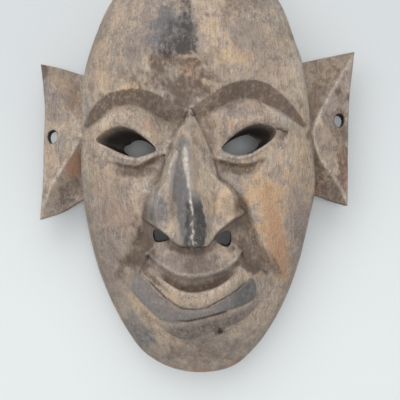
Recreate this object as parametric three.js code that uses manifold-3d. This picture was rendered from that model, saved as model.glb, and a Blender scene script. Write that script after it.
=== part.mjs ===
// A carved wooden face mask with square ears, hollowed at the back, lying on its rim.
// Millimetres. X runs across the face, Y from the chin to the crown, Z towards the viewer.
// The origin is the middle of the bounding box in plan, at the height of the table.

import * as THREE from 'three';
import Module from 'manifold-3d';

const wasm = await Module();
wasm.setup();

// Driving dimensions
const HALF_SPAN = 96;
const HALF_WIDTH = 71;
const HALF_LENGTH = 133.5;
const WALL = 15;
const RIM = 12.5;
const ARCH = { rise: 15, from: -112, to: 106, sharpness: 0.9 };
const EAR = { rootBack: 15, tipBack: 19, holeAcross: 6, holeAlong: 8.2 };
const EYE = { lip: 1.5, behind: 46 };
const HOLLOW_SHAPE = { fullness: 2.8, roundness: 2.2 };
const POCKET = { x: -3, y: -36, acrossX: 11, acrossY: 24, depth: 13 };
const MUZZLE = { x: -2.9, y: -77, across: 50, along: 36, height: 10, power: 1.7, turn: 0 };
const LEFT_ORBIT = { x: -19.5, y: 11.5, across: 8.5, along: 15, height: -4.2, power: 1.3, turn: 0.25 };
const RIGHT_ORBIT = { x: 9.5, y: 10.5, across: 8, along: 15, height: -4.2, power: 1.3, turn: -0.3 };
const PLATE = { x: -1.4, height: 7.5, bow: 0.0055, bevelOut: -1.4, bevelIn: 2 };
const MOUTH_BAND = { x: -3, height: 2.3, bow: 0, bevelOut: -0.9, bevelIn: 1.8 };
const LOWER_LIP = { x: -3, height: 1.8, bow: 0, bevelOut: -0.8, bevelIn: 2.4 };
const NOSE = { slope: 1.5, blunt: 3.4, side: 2.8, end: 11 };
const FOLD = { step: [-1, 4], runOut: [5, 20], start: [0, 0.15], end: [0.55, 1] };

// Resolution of the faceted solid
const COLUMNS = 46;
const ROWS = 62;
const HOLLOW_COLUMNS = 20;
const HOLLOW_ROWS = 30;
const CURVE_STEPS = 6;
const EDGE_CROWDING = 0.2;
const FEATURE_CROWDING = 0.2;
const FACET_SPREAD = [-1.4, 0, 1.4];
const EYE_SIDES = 22;
const NOSTRIL_SIDES = 10;
const CORD_HOLE_SIDES = 12;
const ARCH_STEPS = 16;

// Bounds that every cutter runs past
const ABOVE = 130;
const BELOW = -12;
const FAR_X = 120;
const FAR_Y = 160;
const INSIDE = 30;

// Plan outline of the head without its ears, from the crown round the left of the picture
const OUTLINE = [
  [-2, 134], [-29.5, 124.5], [-51.5, 97.5], [-63, 72.5], [-69.5, 48.5], [-71, 18], [-71, -12.5],
  [-67.5, -40], [-62, -65], [-54, -86.5], [-44, -106], [-33, -120.5], [-16.5, -130], [2.5, -133],
  [21.5, -129], [35, -117.5], [44.5, -104.5], [53.5, -87.5], [61.5, -65.5], [67.5, -38.5],
  [71.5, -15.5], [69, 18], [64.5, 53], [58.5, 72.5], [48.5, 97.5], [26, 124.5],
];

// Heights along the middle of the face, and of the edge where its side turns down, chin to crown
const STATIONS = [-140, -118, -95, -70, -40, -5, 30, 60, 90, 115, 140];
const CREST = [54, 60, 64, 66, 67, 69, 71, 74, 73, 70, 66];
const EDGE = [9, 12, 16, 20, 26, 29, 30, 30, 29, 25, 22];

// Smooth blend from 0 to 1 as v goes from lo to hi
function blend(lo, hi, v) {
  const t = THREE.MathUtils.clamp((v - lo) / (hi - lo), 0, 1);
  return t * t * (3 - 2 * t);
}

function bump(q, power = 1) {
  return Math.max(0, 1 - q) ** power;
}

// A smooth line on the face. near() gives the distance, positive to the left of the line,
// or inside it where it is closed, and how far along it the nearest point is, from 0 to 1.
class Line {
  constructor(points, closed = false) {
    const nodes = points.map(([x, y]) => new THREE.Vector3(x, y, 0));
    const spans = points.length - (closed ? 0 : 1);
    this.closed = closed;
    this.curve = new THREE.CatmullRomCurve3(nodes, closed, 'catmullrom', 0.5);
    this.path = this.curve.getPoints(spans * CURVE_STEPS);
    this.starts = [0];
    for (let i = 1; i < this.path.length; i += 1) {
      this.starts.push(this.starts[i - 1] + this.path[i].distanceTo(this.path[i - 1]));
    }
  }

  near(x, y) {
    const total = this.starts[this.starts.length - 1];
    let best = Infinity;
    let side = 1;
    let share = 0;
    let odd = false;
    for (let i = 1; i < this.path.length; i += 1) {
      const a = this.path[i - 1];
      const b = this.path[i];
      const [sx, sy, wx, wy] = [b.x - a.x, b.y - a.y, x - a.x, y - a.y];
      const size = this.starts[i] - this.starts[i - 1];
      const h = THREE.MathUtils.clamp((wx * sx + wy * sy) / (size * size), 0, 1);
      const gap = Math.hypot(wx - h * sx, wy - h * sy);
      if ((a.y > y) !== (b.y > y) && x < a.x + (wy * sx) / sy) {
        odd = !odd;
      }
      if (gap < best) {
        best = gap;
        side = sx * wy >= sy * wx ? 1 : -1;
        share = (this.starts[i - 1] + h * size) / total;
      }
    }
    if (this.closed) {
      side = odd ? 1 : -1;
    }
    return { d: best * side, t: share };
  }
}

// A smooth function of one variable through the values at the stations
function profile(stations, values) {
  const nodes = stations.map((s, i) => new THREE.Vector3(s, values[i], 0));
  const curve = new THREE.CatmullRomCurve3(nodes, false, 'catmullrom', 0.5);
  const path = curve.getPoints((stations.length - 1) * CURVE_STEPS);
  return (v) => {
    let i = 1;
    while (i < path.length - 1 && path[i].x < v) {
      i += 1;
    }
    const t = THREE.MathUtils.clamp((v - path[i - 1].x) / (path[i].x - path[i - 1].x), 0, 1);
    return THREE.MathUtils.lerp(path[i - 1].y, path[i].y, t);
  };
}

// Values spread evenly along a line, as a function of the share of its length
function along(values) {
  return profile(values.map((_, i) => i / (values.length - 1)), values);
}

// Distance of the outline from the origin, by direction
const outline = new Line(OUTLINE, true).path.map((p) => [Math.atan2(p.y, p.x), Math.hypot(p.x, p.y)]);
outline.sort((a, b) => a[0] - b[0]);
function reach(angle) {
  const n = outline.length;
  let i = outline.findIndex(([a]) => a >= angle);
  i = i < 0 ? n : i;
  const [a0, r0] = outline[(i + n - 1) % n];
  const [a1, r1] = outline[i % n];
  const turn = 2 * Math.PI;
  const t = ((angle - a0 + turn) % turn) / ((a1 - a0 + turn) % turn || turn);
  return THREE.MathUtils.lerp(r0, r1, t);
}

const crestAt = profile(STATIONS, CREST);
const edgeAt = profile(STATIONS, EDGE);
const fullness = profile([-130, -95, -60, 40, 130], [4, 3.2, 2.8, 3, 2.6]);
const roundness = profile([-130, -60, 40, 130], [1.9, 1.85, 2, 2]);

// The plain head before its features are carved
function dome(x, y) {
  const rho = Math.min(1, Math.hypot(x, y) / reach(Math.atan2(y, x)));
  const rise = (1 - rho ** fullness(y)) ** (1 / roundness(y));
  return THREE.MathUtils.lerp(edgeAt(y), crestAt(y), rise);
}

// A ridge or a groove along a line: half-widths and heights spread along it
function swell(points, widths, heights, power) {
  const line = new Line(points);
  const widthAt = along(widths);
  const heightAt = along(heights);
  return (x, y) => {
    const { d, t } = line.near(x, y);
    return heightAt(t) * bump((d / widthAt(t)) ** 2, power);
  };
}

// A ledge: a band that slopes in to the right of its line, down to a crisp inner corner, and a
// hollow beyond the corner that dies away over the fade
function ledge(points, widths, depths, fades) {
  const line = new Line(points);
  const widthAt = along(widths);
  const depthAt = along(depths);
  const fadeAt = along(fades);
  return (x, y) => {
    const { d, t } = line.near(x, y);
    const w = widthAt(t);
    const q = d / w;
    if ((t <= 0 || t >= 1) && Math.abs(d) >= w) {
      return 0;
    }
    const slope = THREE.MathUtils.clamp((1 - q) / 2, 0, 1);
    const cut = q >= -1 ? slope : Math.exp(((q + 1) * w) / fadeAt(t));
    return -depthAt(t) * cut;
  };
}

// The edge of a cheek beside the mouth: a step down towards the middle that runs out again
function fold(points, inward, depth) {
  const line = new Line(points);
  return (x, y) => {
    const { d, t } = line.near(x, y);
    const across = blend(...FOLD.step, d * inward) * (1 - blend(...FOLD.runOut, d * inward));
    return -depth * across * blend(...FOLD.start, t) * (1 - blend(...FOLD.end, t));
  };
}

// A round or oval swelling, or a dip where its height is negative
function mound(shape) {
  const [c, s] = [Math.cos(shape.turn), Math.sin(shape.turn)];
  return (x, y) => {
    const [dx, dy] = [x - shape.x, y - shape.y];
    const q = ((dx * c + dy * s) / shape.across) ** 2 + ((dy * c - dx * s) / shape.along) ** 2;
    return shape.height * bump(q, shape.power);
  };
}

// A raised area with bevelled sides, lower away from its middle where it is bowed
function raised(points, shape) {
  const border = new Line(points, true);
  return (x, y) => {
    const lift = shape.height - shape.bow * (x - shape.x) ** 2;
    return lift * blend(shape.bevelOut, shape.bevelIn, border.near(x, y).d);
  };
}

const features = [
  mound(MUZZLE),
  mound(LEFT_ORBIT),
  mound(RIGHT_ORBIT),
  fold([[-31, -27], [-33.5, -38], [-37.5, -50], [-42.5, -61], [-47.5, -70.5], [-51, -79]], 1, 3.6),
  fold(
    [[26, -18], [29.5, -28], [32.5, -38], [37, -49], [42.5, -60], [48, -70.5], [53.5, -82.5]],
    -1, 4.6,
  ),
  // the brows
  ledge(
    [[-67, 16.5], [-62.6, 21.5], [-52, 31.2], [-45, 34], [-37.5, 34.5], [-31, 33.3], [-25.5, 30.8],
      [-20.5, 27.7], [-14.5, 24.4], [-7, 24]],
    [1, 2.5, 3.5, 4, 4.2, 4.5, 5, 5.3, 4.6, 2.2], [0.8, 3, 4.4, 5, 5, 5.2, 5.8, 6.6, 7, 5.5],
    [2.4, 2.4, 2.6, 3.6, 6.5],
  ),
  ledge(
    [[-3, 25.2], [3, 28.2], [10.9, 32.7], [19.5, 37], [29.8, 39], [37.5, 37.8], [44.7, 34.3],
      [51, 30.3], [56.5, 26], [61.5, 21.5], [65, 18]],
    [2.2, 3.8, 4.4, 4.6, 4.9, 5, 4.5, 3.6, 2.5, 1.6, 0.9],
    [5.5, 7, 6.4, 5.6, 5.2, 5, 4.8, 4.2, 3.2, 2, 0.8], [6.5, 3.6, 2.6, 2.4, 2.4],
  ),
  // upper eyelids
  swell([[-60.5, 14.5], [-55, 19], [-47.5, 21.5], [-40.5, 21], [-33.5, 17.5], [-26.5, 12.5], [-21, 7]],
    [3, 5.5, 6.5, 7, 7, 6.5, 4], [0, 2.4, 2.6, 2.6, 2.6, 2.4, 0], 1.3),
  swell([[8, 8], [13.5, 13], [20, 19], [28, 22.5], [37, 24], [45.5, 22.5], [54.5, 17.5]],
    [3, 5.5, 6.5, 7, 7, 6.5, 4], [0, 2.4, 2.6, 2.6, 2.6, 2.4, 0], 1.3),
  // the grooves under the eyes, and the lower eyelids above them
  ledge(
    [[-52, -2.6], [-46.5, -3.8], [-41.5, -5.2], [-35.3, -5.6], [-30, -3.8], [-25, -1], [-20, 0.8]],
    [0.8, 1, 1.1, 1.1, 1.1, 1], [0.4, 2.6, 3.6, 3.9, 3.8, 3.2], [3, 3.4, 3.8, 3.4],
  ),
  ledge(
    [[9, -1.4], [13, -2.4], [18.6, -4], [23, -4.7], [27.5, -4.7], [32.5, -3.8], [38.5, -1.2]],
    [1, 1.1, 1.1, 1.1, 1, 0.8], [3.2, 3.8, 3.9, 3.6, 2.6, 0.4], [3.4, 3.8, 3.4, 3],
  ),
  swell([[-55, 4.5], [-46, 0.3], [-36, -1.6], [-28.5, -0.6], [-22, 2.4]],
    [1.3, 1.7, 1.8, 1.7, 1.3], [0, 1.1, 1.3, 1.1, 0.3], 1),
  swell([[10.5, 3.2], [16, 0.8], [23, -0.6], [30, 0.8], [37, 4.8], [44, 9.8]],
    [1.3, 1.7, 1.8, 1.7, 1.5, 1.3], [0.3, 1.1, 1.3, 1.3, 1, 0], 1),
  // the upper lip, the flat band of the mouth and the lower lip
  swell([[-41.5, -67.5], [-34.5, -65.8], [-26, -69.5], [-19, -76.3], [-10, -81.3], [-0.5, -83.2],
    [9.5, -80.2], [20.5, -74.3], [30, -69], [37, -68.2]],
    [3, 4.4, 5, 5.2, 5.4, 5.2, 4.8, 4, 2.6], [0, 1.4, 2.7, 3, 3, 2.9, 2.6, 1.5, 0], 0.5),
  raised([
    [-31, -68.8], [-19.8, -80], [-10.1, -86.9], [1.2, -87.8], [9.7, -84.4], [19.9, -79], [30.5, -70],
    [34.1, -77], [32, -83.2], [13.7, -89.5], [-7.3, -95.2], [-17, -96], [-30, -87.6], [-39.6, -77.1],
    [-43.6, -72.5], [-40.5, -68.6], [-35.1, -67.2],
  ], MOUTH_BAND),
  raised([
    [-28, -93.5], [-22, -99.5], [-16, -104.5], [-10.5, -107.3], [-3.5, -107.6], [4, -104.8], [13, -101],
    [22, -98], [30, -93], [36, -85.5], [33, -84], [24, -88.5], [14, -91.3], [4, -94.4], [-7, -97],
    [-17, -97.6], [-24.5, -94],
  ], LOWER_LIP),
  // the recess between the mouth and the plate under the nose, and that plate, pointed at both sides
  ledge(
    [[25, -63], [15.4, -71.3], [8, -75], [-1.6, -77], [-9, -76.2], [-14.7, -73.2], [-21.5, -69.2],
      [-28, -65.5]],
    [0.9, 0.9], [0.6, 3, 4.2, 4.6, 4.2, 2.2, 1, 0.4], [2.5, 5.5, 6.5, 5, 3],
  ),
  raised([
    [-31, -56], [-27.5, -51.5], [-23, -47.5], [-13, -45], [4, -45], [12.5, -46.5], [20.5, -48],
    [26, -54], [23, -59.5], [16, -65], [8, -68], [-1.5, -69.5], [-11, -68.5], [-18.5, -65],
    [-25.5, -60],
  ], PLATE),
];

// The nose: a blunt ridge with a sloping wing on each side, held inside its foot line
const noseFoot = new Line([
  [-4.2, 27], [-8.5, 21], [-11.9, 16.7], [-14.8, 10.4], [-16.8, 3.6], [-18.8, -2.1], [-20.7, -7.8],
  [-23, -13.2], [-26.8, -18], [-29, -25], [-30.7, -31.5], [-31.5, -37], [-32, -60], [29, -60],
  [28, -33], [25.6, -28.5], [22.8, -22], [18.5, -16.4], [12.6, -12.5], [10.9, -7.8], [9.2, -2.1],
  [7.5, 3.6], [5.2, 9.3], [2.3, 15.5], [-0.8, 22],
], true);
const noseEnd = new Line([
  [-34, -33], [-30, -37], [-25.5, -40.5], [-19, -45], [-13, -49.5], [-8.5, -51.5], [4, -51.5], [8, -48.5],
  [13, -43], [20, -37.5], [27.5, -33], [32, -29.5],
]);
const ridgeX = profile([-56, -46.5, -25, -8, 0, 23.5], [-2.5, -3, -3.5, -5.5, -6, -4.5]);
const ridgeTop = profile([-62, -52, -30, -5, 15, 27, 36], [104, 102, 95, 86, 78, 71.5, 62]);
const wings = [
  {
    line: new Line([[-24, -18.5], [-19.5, -24.5], [-16.5, -32], [-14.5, -41.5], [-12.5, -48.5]]),
    top: along([70, 77, 83, 88, 90]), outward: -1, outer: 0.62, inner: 0.2,
  },
  {
    line: new Line([[13, -13], [19.5, -17.5], [23.3, -25], [25, -30.5], [26, -36]]),
    top: along([72, 74, 75, 75, 75]), outward: 1, outer: 1, inner: -0.3,
  },
];
function noseRise(x, y, z) {
  const dx = x - ridgeX(y);
  let top = ridgeTop(y) - NOSE.slope * (Math.hypot(dx, NOSE.blunt) - NOSE.blunt);
  for (const wing of wings) {
    const { d, t } = wing.line.near(x, y);
    const slope = d * wing.outward > 0 ? wing.outer : wing.inner;
    top = Math.max(top, wing.top(t) - slope * Math.abs(d));
  }
  const side = NOSE.side * Math.max(0, noseFoot.near(x, y).d);
  const end = NOSE.end * Math.max(0, noseEnd.near(x, y).d);
  return Math.max(0, Math.min(top - z, side, end));
}

// The height of the carving over the plain head
function relief(x, y) {
  const plain = dome(x, y);
  const carved = features.reduce((z, feature) => z + feature(x, y), plain);
  return carved + noseRise(x, y, carved) - plain;
}

// The height of the carved front over the table. The carving is averaged over about the size
// of a facet, so that its edges don't break into teeth where they cross the grid.
function face(x, y) {
  const around = FACET_SPREAD.flatMap((dx) => FACET_SPREAD.map((dy) => relief(x + dx, y + dy)));
  return dome(x, y) + around.reduce((sum, z) => sum + z, 0) / around.length;
}

// The height of the hollow's ceiling, with a deeper pocket behind the nose
function ceiling(x, y) {
  const angle = Math.atan2(y, x);
  const rho = Math.min(1, Math.hypot(x, y) / (reach(angle) - RIM));
  const rise = (1 - rho ** HOLLOW_SHAPE.fullness) ** (1 / HOLLOW_SHAPE.roundness);
  const vault = (crestAt(y) - WALL) * rise;
  const q = ((x - POCKET.x) / POCKET.acrossX) ** 2 + ((y - POCKET.y) / POCKET.acrossY) ** 2;
  return vault + POCKET.depth * Math.exp(-q);
}

// A closed solid from vertices and triangles, turned so that its faces point out
function solid(vertices, triangles) {
  const [a, b, c] = [new THREE.Vector3(), new THREE.Vector3(), new THREE.Vector3()];
  let volume = 0;
  for (const [i, j, k] of triangles) {
    volume += a.fromArray(vertices[i]).dot(b.fromArray(vertices[j]).cross(c.fromArray(vertices[k])));
  }
  const turned = volume < 0 ? triangles.map(([i, j, k]) => [i, k, j]) : triangles;
  return new wasm.Manifold(new wasm.Mesh({
    numProp: 3,
    vertProperties: new Float32Array(vertices.flat()),
    triVerts: new Uint32Array(turned.flat()),
  }));
}

// A solid through rings of points, one above another, closed by a fan at each end
function loft(rings) {
  const n = rings[0].length;
  const vertices = rings.flat();
  const triangles = [];
  for (let r = 0; r + 1 < rings.length; r += 1) {
    for (let i = 0; i < n; i += 1) {
      const [p, q] = [r * n + i, r * n + ((i + 1) % n)];
      triangles.push([p, q, q + n], [p, q + n, p + n]);
    }
  }
  const ends = [[rings[0], 0, true], [rings[rings.length - 1], vertices.length - n, false]];
  for (const [ring, first, flip] of ends) {
    const middle = [0, 1, 2].map((axis) => ring.reduce((sum, p) => sum + p[axis], 0) / n);
    vertices.push(middle);
    for (let i = 0; i < n; i += 1) {
      const [p, q] = [first + i, first + ((i + 1) % n)];
      triangles.push(flip ? [q, p, vertices.length - 1] : [p, q, vertices.length - 1]);
    }
  }
  return solid(vertices, triangles);
}

// A solid between a height over the head's plan and a floor below it. The square grid is bent
// onto the plan: rows and columns run from edge to edge, closer together near the edge, and
// each square is split along its more level diagonal, so that carved edges stay straight.
function domed(columns, rows, inset, crowd, height, floor) {
  const vertices = [];
  const triangles = [];
  const at = (i, j) => j * (columns + 1) + i;
  for (let j = 0; j <= rows; j += 1) {
    for (let i = 0; i <= columns; i += 1) {
      const a = (2 * i) / columns - 1;
      const b = crowd((2 * j) / rows - 1);
      const u = a * Math.sqrt(1 - (b * b) / 2);
      const v = b * Math.sqrt(1 - (a * a) / 2);
      const rho = Math.min(1, Math.hypot(u, v));
      const angle = Math.atan2(v * HALF_LENGTH, u * HALF_WIDTH);
      const radius = rho * (1 + EDGE_CROWDING * (1 - rho)) * (reach(angle) - inset);
      const [x, y] = [radius * Math.cos(angle), radius * Math.sin(angle)];
      vertices.push([x, y, height(x, y)]);
    }
  }
  for (let j = 0; j < rows; j += 1) {
    for (let i = 0; i < columns; i += 1) {
      const [p, q, r, s] = [at(i, j), at(i + 1, j), at(i + 1, j + 1), at(i, j + 1)];
      const rise = (m, n) => Math.abs(vertices[m][2] - vertices[n][2]);
      const level = rise(q, s) < rise(p, r);
      triangles.push(...(level ? [[p, q, s], [q, r, s]] : [[p, q, r], [p, r, s]]));
    }
  }
  const border = [];
  for (let i = 0; i < columns; i += 1) border.push(at(i, 0));
  for (let j = 0; j < rows; j += 1) border.push(at(columns, j));
  for (let i = columns; i > 0; i -= 1) border.push(at(i, rows));
  for (let j = rows; j > 0; j -= 1) border.push(at(0, j));
  const first = vertices.length;
  for (const index of border) {
    vertices.push([vertices[index][0], vertices[index][1], floor]);
  }
  vertices.push([0, 0, floor]);
  const middle = vertices.length - 1;
  border.forEach((index, i) => {
    const next = (i + 1) % border.length;
    triangles.push([index, first + i, first + next], [index, first + next, border[next]]);
    triangles.push([first + i, middle, first + next]);
  });
  return solid(vertices, triangles);
}

// Points spaced evenly round a smooth closed outline
function spaced(points, sides) {
  return new Line(points, true).curve.getSpacedPoints(sides).slice(0, sides);
}

// An eye: an almond on the front that narrows to a smaller oval in the hollow behind
function eyeTunnel(front, back) {
  const rim = spaced(front, EYE_SIDES);
  const inner = spaced(back, EYE_SIDES);
  return loft([
    inner.map((p) => [p.x, p.y, BELOW]),
    inner.map((p) => [p.x, p.y, EYE.behind]),
    rim.map((p) => [p.x, p.y, Math.max(EYE.behind + 1, face(p.x, p.y) - EYE.lip)]),
    rim.map((p) => [p.x, p.y, ABOVE]),
  ]);
}

// A nostril: a straight tunnel from the hollow out through the face
function nostril(points) {
  const rim = spaced(points, NOSTRIL_SIDES);
  return loft([rim.map((p) => [p.x, p.y, INSIDE]), rim.map((p) => [p.x, p.y, ABOVE])]);
}

// A hole through an ear for the cord that ties the mask on
function cordHole([x, y]) {
  const oval = new THREE.EllipseCurve(x, y, EAR.holeAcross / 2, EAR.holeAlong / 2);
  const rim = oval.getPoints(CORD_HOLE_SIDES);
  const ring = (z) => rim.slice(0, CORD_HOLE_SIDES).map((p) => [p.x, p.y, z]);
  return loft([ring(BELOW), ring(ABOVE)]);
}

// What is cut off the back: everything under the table, and a low arch under both sides
function backCutter() {
  const ring = (x) => {
    const points = [[x, -FAR_Y, 2 * BELOW], [x, -FAR_Y, 0]];
    for (let i = 0; i <= ARCH_STEPS; i += 1) {
      const t = i / ARCH_STEPS;
      const rise = ARCH.rise * Math.sin(Math.PI * t) ** ARCH.sharpness;
      points.push([x, THREE.MathUtils.lerp(ARCH.from, ARCH.to, t), rise]);
    }
    points.push([x, FAR_Y, 0], [x, FAR_Y, 2 * BELOW]);
    return points;
  };
  return loft([ring(-FAR_X), ring(FAR_X)]);
}

// The ears: flat facets between named points, from the raised inner point to the square tips
const EARS = {
  left: {
    tipTop: [-96, 58, 29], topMid: [-83.5, 55.5, 27], joinTop: [-71, 52, 25], valleyTop: [-71.5, 34, 25],
    apex: [-69, 14, 40], ridgeTop: [-82.5, 37, 35], edgeTop: [-93.5, 30, 30], edgeLow: [-94.5, -0.5, 30],
    tipLow: [-96.5, -37, 29], lowMid: [-83.5, -32.5, 26], joinLow: [-70.5, -25, 25],
    valleyLow: [-71.5, -3, 25], ridgeLow: [-79.5, -2, 36], ridgeEnd: [-89, -17.5, 31.5],
    innerTop: [-60, 50, 24], innerMid: [-58, 14, 38], innerLow: [-60, -24, 24], hole: [-88.5, 13.5],
  },
  right: {
    tipTop: [95.5, 65.5, 29], topMid: [81, 63, 27], joinTop: [64, 59.5, 25], valleyTop: [70, 37, 25],
    apex: [68, 15, 38], ridgeTop: [76.5, 33.5, 34], edgeTop: [92, 39, 30], edgeLow: [91, -0.5, 30],
    tipLow: [91, -28.5, 29], lowMid: [81, -25.5, 26], joinLow: [71, -22, 25], valleyLow: [73.5, -3, 25],
    ridgeLow: [74, -0.5, 35], ridgeEnd: [83.5, -13.5, 31.5], innerTop: [56, 56, 24],
    innerMid: [58, 15, 36], innerLow: [60, -21, 24], hole: [86, 23.5],
  },
};
const FACETS = [
  ['apex', 'ridgeTop', 'tipTop', 'edgeTop', 'edgeLow', 'tipLow', 'ridgeEnd', 'ridgeLow'],
  ['apex', 'valleyTop', 'joinTop', 'topMid', 'tipTop', 'ridgeTop'],
  ['apex', 'ridgeLow', 'ridgeEnd', 'tipLow', 'lowMid', 'joinLow', 'valleyLow'],
  ['apex', 'innerMid', 'innerTop', 'joinTop', 'valleyTop'],
  ['apex', 'valleyLow', 'joinLow', 'innerLow', 'innerMid'],
];
const EAR_BORDER = [
  'innerTop', 'joinTop', 'topMid', 'tipTop', 'edgeTop', 'edgeLow', 'tipLow', 'lowMid', 'joinLow',
  'innerLow', 'innerMid',
];
function earSolid(points) {
  const names = Object.keys(points).filter((name) => name !== 'hole');
  const vertices = names.map((name) => points[name]);
  const flat = (list) => list.map((name) => new THREE.Vector2(points[name][0], points[name][1]));
  const up = (triangle) => {
    const [a, b, c] = triangle.map((i) => vertices[i]);
    const turn = (b[0] - a[0]) * (c[1] - a[1]) - (b[1] - a[1]) * (c[0] - a[0]);
    return turn > 0 ? triangle : [triangle[0], triangle[2], triangle[1]];
  };
  const triangles = [];
  for (const facet of FACETS) {
    for (const corners of THREE.ShapeUtils.triangulateShape(flat(facet), [])) {
      triangles.push(up(corners.map((i) => names.indexOf(facet[i]))));
    }
  }
  const first = vertices.length;
  for (const name of EAR_BORDER) {
    const [x, y] = points[name];
    const out = (Math.abs(x) - HALF_WIDTH) / (HALF_SPAN - HALF_WIDTH);
    vertices.push([x, y, THREE.MathUtils.lerp(EAR.rootBack, EAR.tipBack, out)]);
  }
  for (const corners of THREE.ShapeUtils.triangulateShape(flat(EAR_BORDER), [])) {
    const [i, j, k] = up(corners.map((c) => first + c));
    triangles.push([i, k, j]);
  }
  const clockwise = THREE.ShapeUtils.isClockWise(flat(EAR_BORDER));
  EAR_BORDER.forEach((name, i) => {
    const n = (i + 1) % EAR_BORDER.length;
    const [p, q] = [names.indexOf(name), names.indexOf(EAR_BORDER[n])];
    const wall = [[p, first + i, first + n], [p, first + n, q]];
    triangles.push(...(clockwise ? wall.map(([a, b, c]) => [a, c, b]) : wall));
  });
  return solid(vertices, triangles);
}

// Rows of the head's grid are closer over the features than on the forehead
function crowdRows(b) {
  return b - FEATURE_CROWDING * (1 - b * b);
}

const head = domed(COLUMNS, ROWS, 0, crowdRows, face, BELOW);
const hollow = domed(HOLLOW_COLUMNS, HOLLOW_ROWS, RIM, (b) => b, ceiling, BELOW);
const cutters = [
  hollow,
  backCutter(),
  eyeTunnel(
    [[-60, 10], [-55.5, 14], [-50, 16.5], [-44, 17.5], [-37.5, 15.5], [-31.5, 11.5], [-25, 6], [-24.5, 3],
      [-29.5, 1], [-36, -0.5], [-44.5, 2], [-53, 6]],
    [[-44.5, 5.5], [-40, 8.3], [-32.5, 8.8], [-25.5, 5], [-31, 0.5], [-39, 0.5]],
  ),
  eyeTunnel(
    [[13.5, 5], [17.5, 9.5], [23.5, 14.5], [30, 18], [37, 19.5], [45, 16.5], [44, 12], [36, 6.5],
      [29.5, 2.5], [23, 1], [16.5, 2.5]],
    [[13.5, 4.5], [20, 8.8], [28.5, 10.8], [34.5, 8], [31, 3.4], [23, 1]],
  ),
  nostril([[-25.5, -42.2], [-21.5, -42.6], [-16.3, -46.5], [-19.5, -48.6], [-24, -49], [-26, -46]]),
  nostril([[13.5, -43.5], [17, -42.5], [19, -44], [19, -49], [17, -51.5], [13, -50.5], [10.5, -47.5]]),
  cordHole(EARS.left.hole),
  cordHole(EARS.right.hole),
];
const carved = cutters.reduce(
  (body, cutter) => body.subtract(cutter),
  head.add(earSolid(EARS.left)).add(earSolid(EARS.right)),
);

function toGeometry(manifold) {
  const mesh = manifold.getMesh();
  const geometry = new THREE.BufferGeometry();
  geometry.setAttribute('position', new THREE.BufferAttribute(mesh.vertProperties, 3));
  geometry.setIndex(new THREE.BufferAttribute(mesh.triVerts, 1));
  geometry.computeVertexNormals();
  return geometry;
}

const wood = new THREE.MeshStandardMaterial({ color: 0x7d6753, roughness: 0.72, metalness: 0 });
const mask = new THREE.Mesh(toGeometry(carved), wood);
mask.name = 'mask';

const model = new THREE.Group();
model.add(mask);

export default model;
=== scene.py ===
import logging
from dataclasses import dataclass, field
from enum import Enum
from typing import Callable, Sequence

import bpy
import numpy as np
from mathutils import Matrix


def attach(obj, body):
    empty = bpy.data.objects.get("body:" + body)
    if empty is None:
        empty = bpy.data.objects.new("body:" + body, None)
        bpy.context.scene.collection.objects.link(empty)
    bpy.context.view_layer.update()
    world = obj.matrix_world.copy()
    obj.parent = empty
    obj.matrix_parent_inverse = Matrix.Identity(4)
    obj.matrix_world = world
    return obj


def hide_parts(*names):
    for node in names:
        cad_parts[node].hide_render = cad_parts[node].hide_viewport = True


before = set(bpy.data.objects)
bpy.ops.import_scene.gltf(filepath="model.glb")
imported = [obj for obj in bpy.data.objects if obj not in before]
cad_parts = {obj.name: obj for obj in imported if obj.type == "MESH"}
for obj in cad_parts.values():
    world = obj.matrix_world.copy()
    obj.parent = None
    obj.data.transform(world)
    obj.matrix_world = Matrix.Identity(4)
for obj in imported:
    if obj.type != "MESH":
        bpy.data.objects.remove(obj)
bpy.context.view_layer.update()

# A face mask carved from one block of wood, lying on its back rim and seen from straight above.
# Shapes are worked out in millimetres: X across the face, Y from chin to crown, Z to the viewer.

MM = 0.001
BELOW, ABOVE = -12.0, 130.0  # heights in mm that no part of the mask reaches
STEPS = 7  # pieces of a curve between two of its points
Array = np.ndarray
Pair = tuple[Array, Array]
Points = tuple[tuple[float, float], ...]
Colour = tuple[float, ...]
log = logging.getLogger("mask")


def ramp(low: float, high: float, value: Array) -> Array:
    """Blend from 0 at low to 1 at high, either way up: t * t * (3 - 2t), t the share of the way."""
    t = np.clip((value - low) / (high - low), 0.0, 1.0)
    return t * t * (3.0 - 2.0 * t)


def soft_above(value: Array, width: float) -> Array:
    """Return the positive part of value with its corner rounded: (v + sqrt(v^2 + w^2) - w) / 2."""
    return 0.5 * (value + np.sqrt(value * value + width * width) - width)


def soft_max(a: Array, b: Array, width: float) -> Array:
    """Return the larger of two heights with the crease between them rounded over a width."""
    return 0.5 * (a + b + np.sqrt((a - b) ** 2 + width * width))


def spline(points: Sequence[Sequence[float]], steps: int, closed: bool) -> Array:
    """Carry a uniform Catmull-Rom curve through points.

    Args:
        points: corners in order.
        steps: pieces between two corners.
        closed: whether the last corner joins the first.

    Returns:
        Points on the curve, one row each.
    """
    p = np.asarray(points, float)
    ends = (p[-1:], p[:2]) if closed else (2 * p[:1] - p[1:2], 2 * p[-1:] - p[-2:-1])
    run = np.vstack([ends[0], p, ends[1]])
    t = (np.arange(steps) / steps)[None, :, None]
    a, b, c, d = (run[i:len(run) - 3 + i, None, :] for i in range(4))
    curve = 0.5 * (2 * b + (c - a) * t + (2 * a - 5 * b + 4 * c - d) * t ** 2
                   + (3 * b - a - 3 * c + d) * t ** 3)
    path = curve.reshape(-1, p.shape[1])
    return path if closed else np.vstack([path, p[-1:]])


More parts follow.
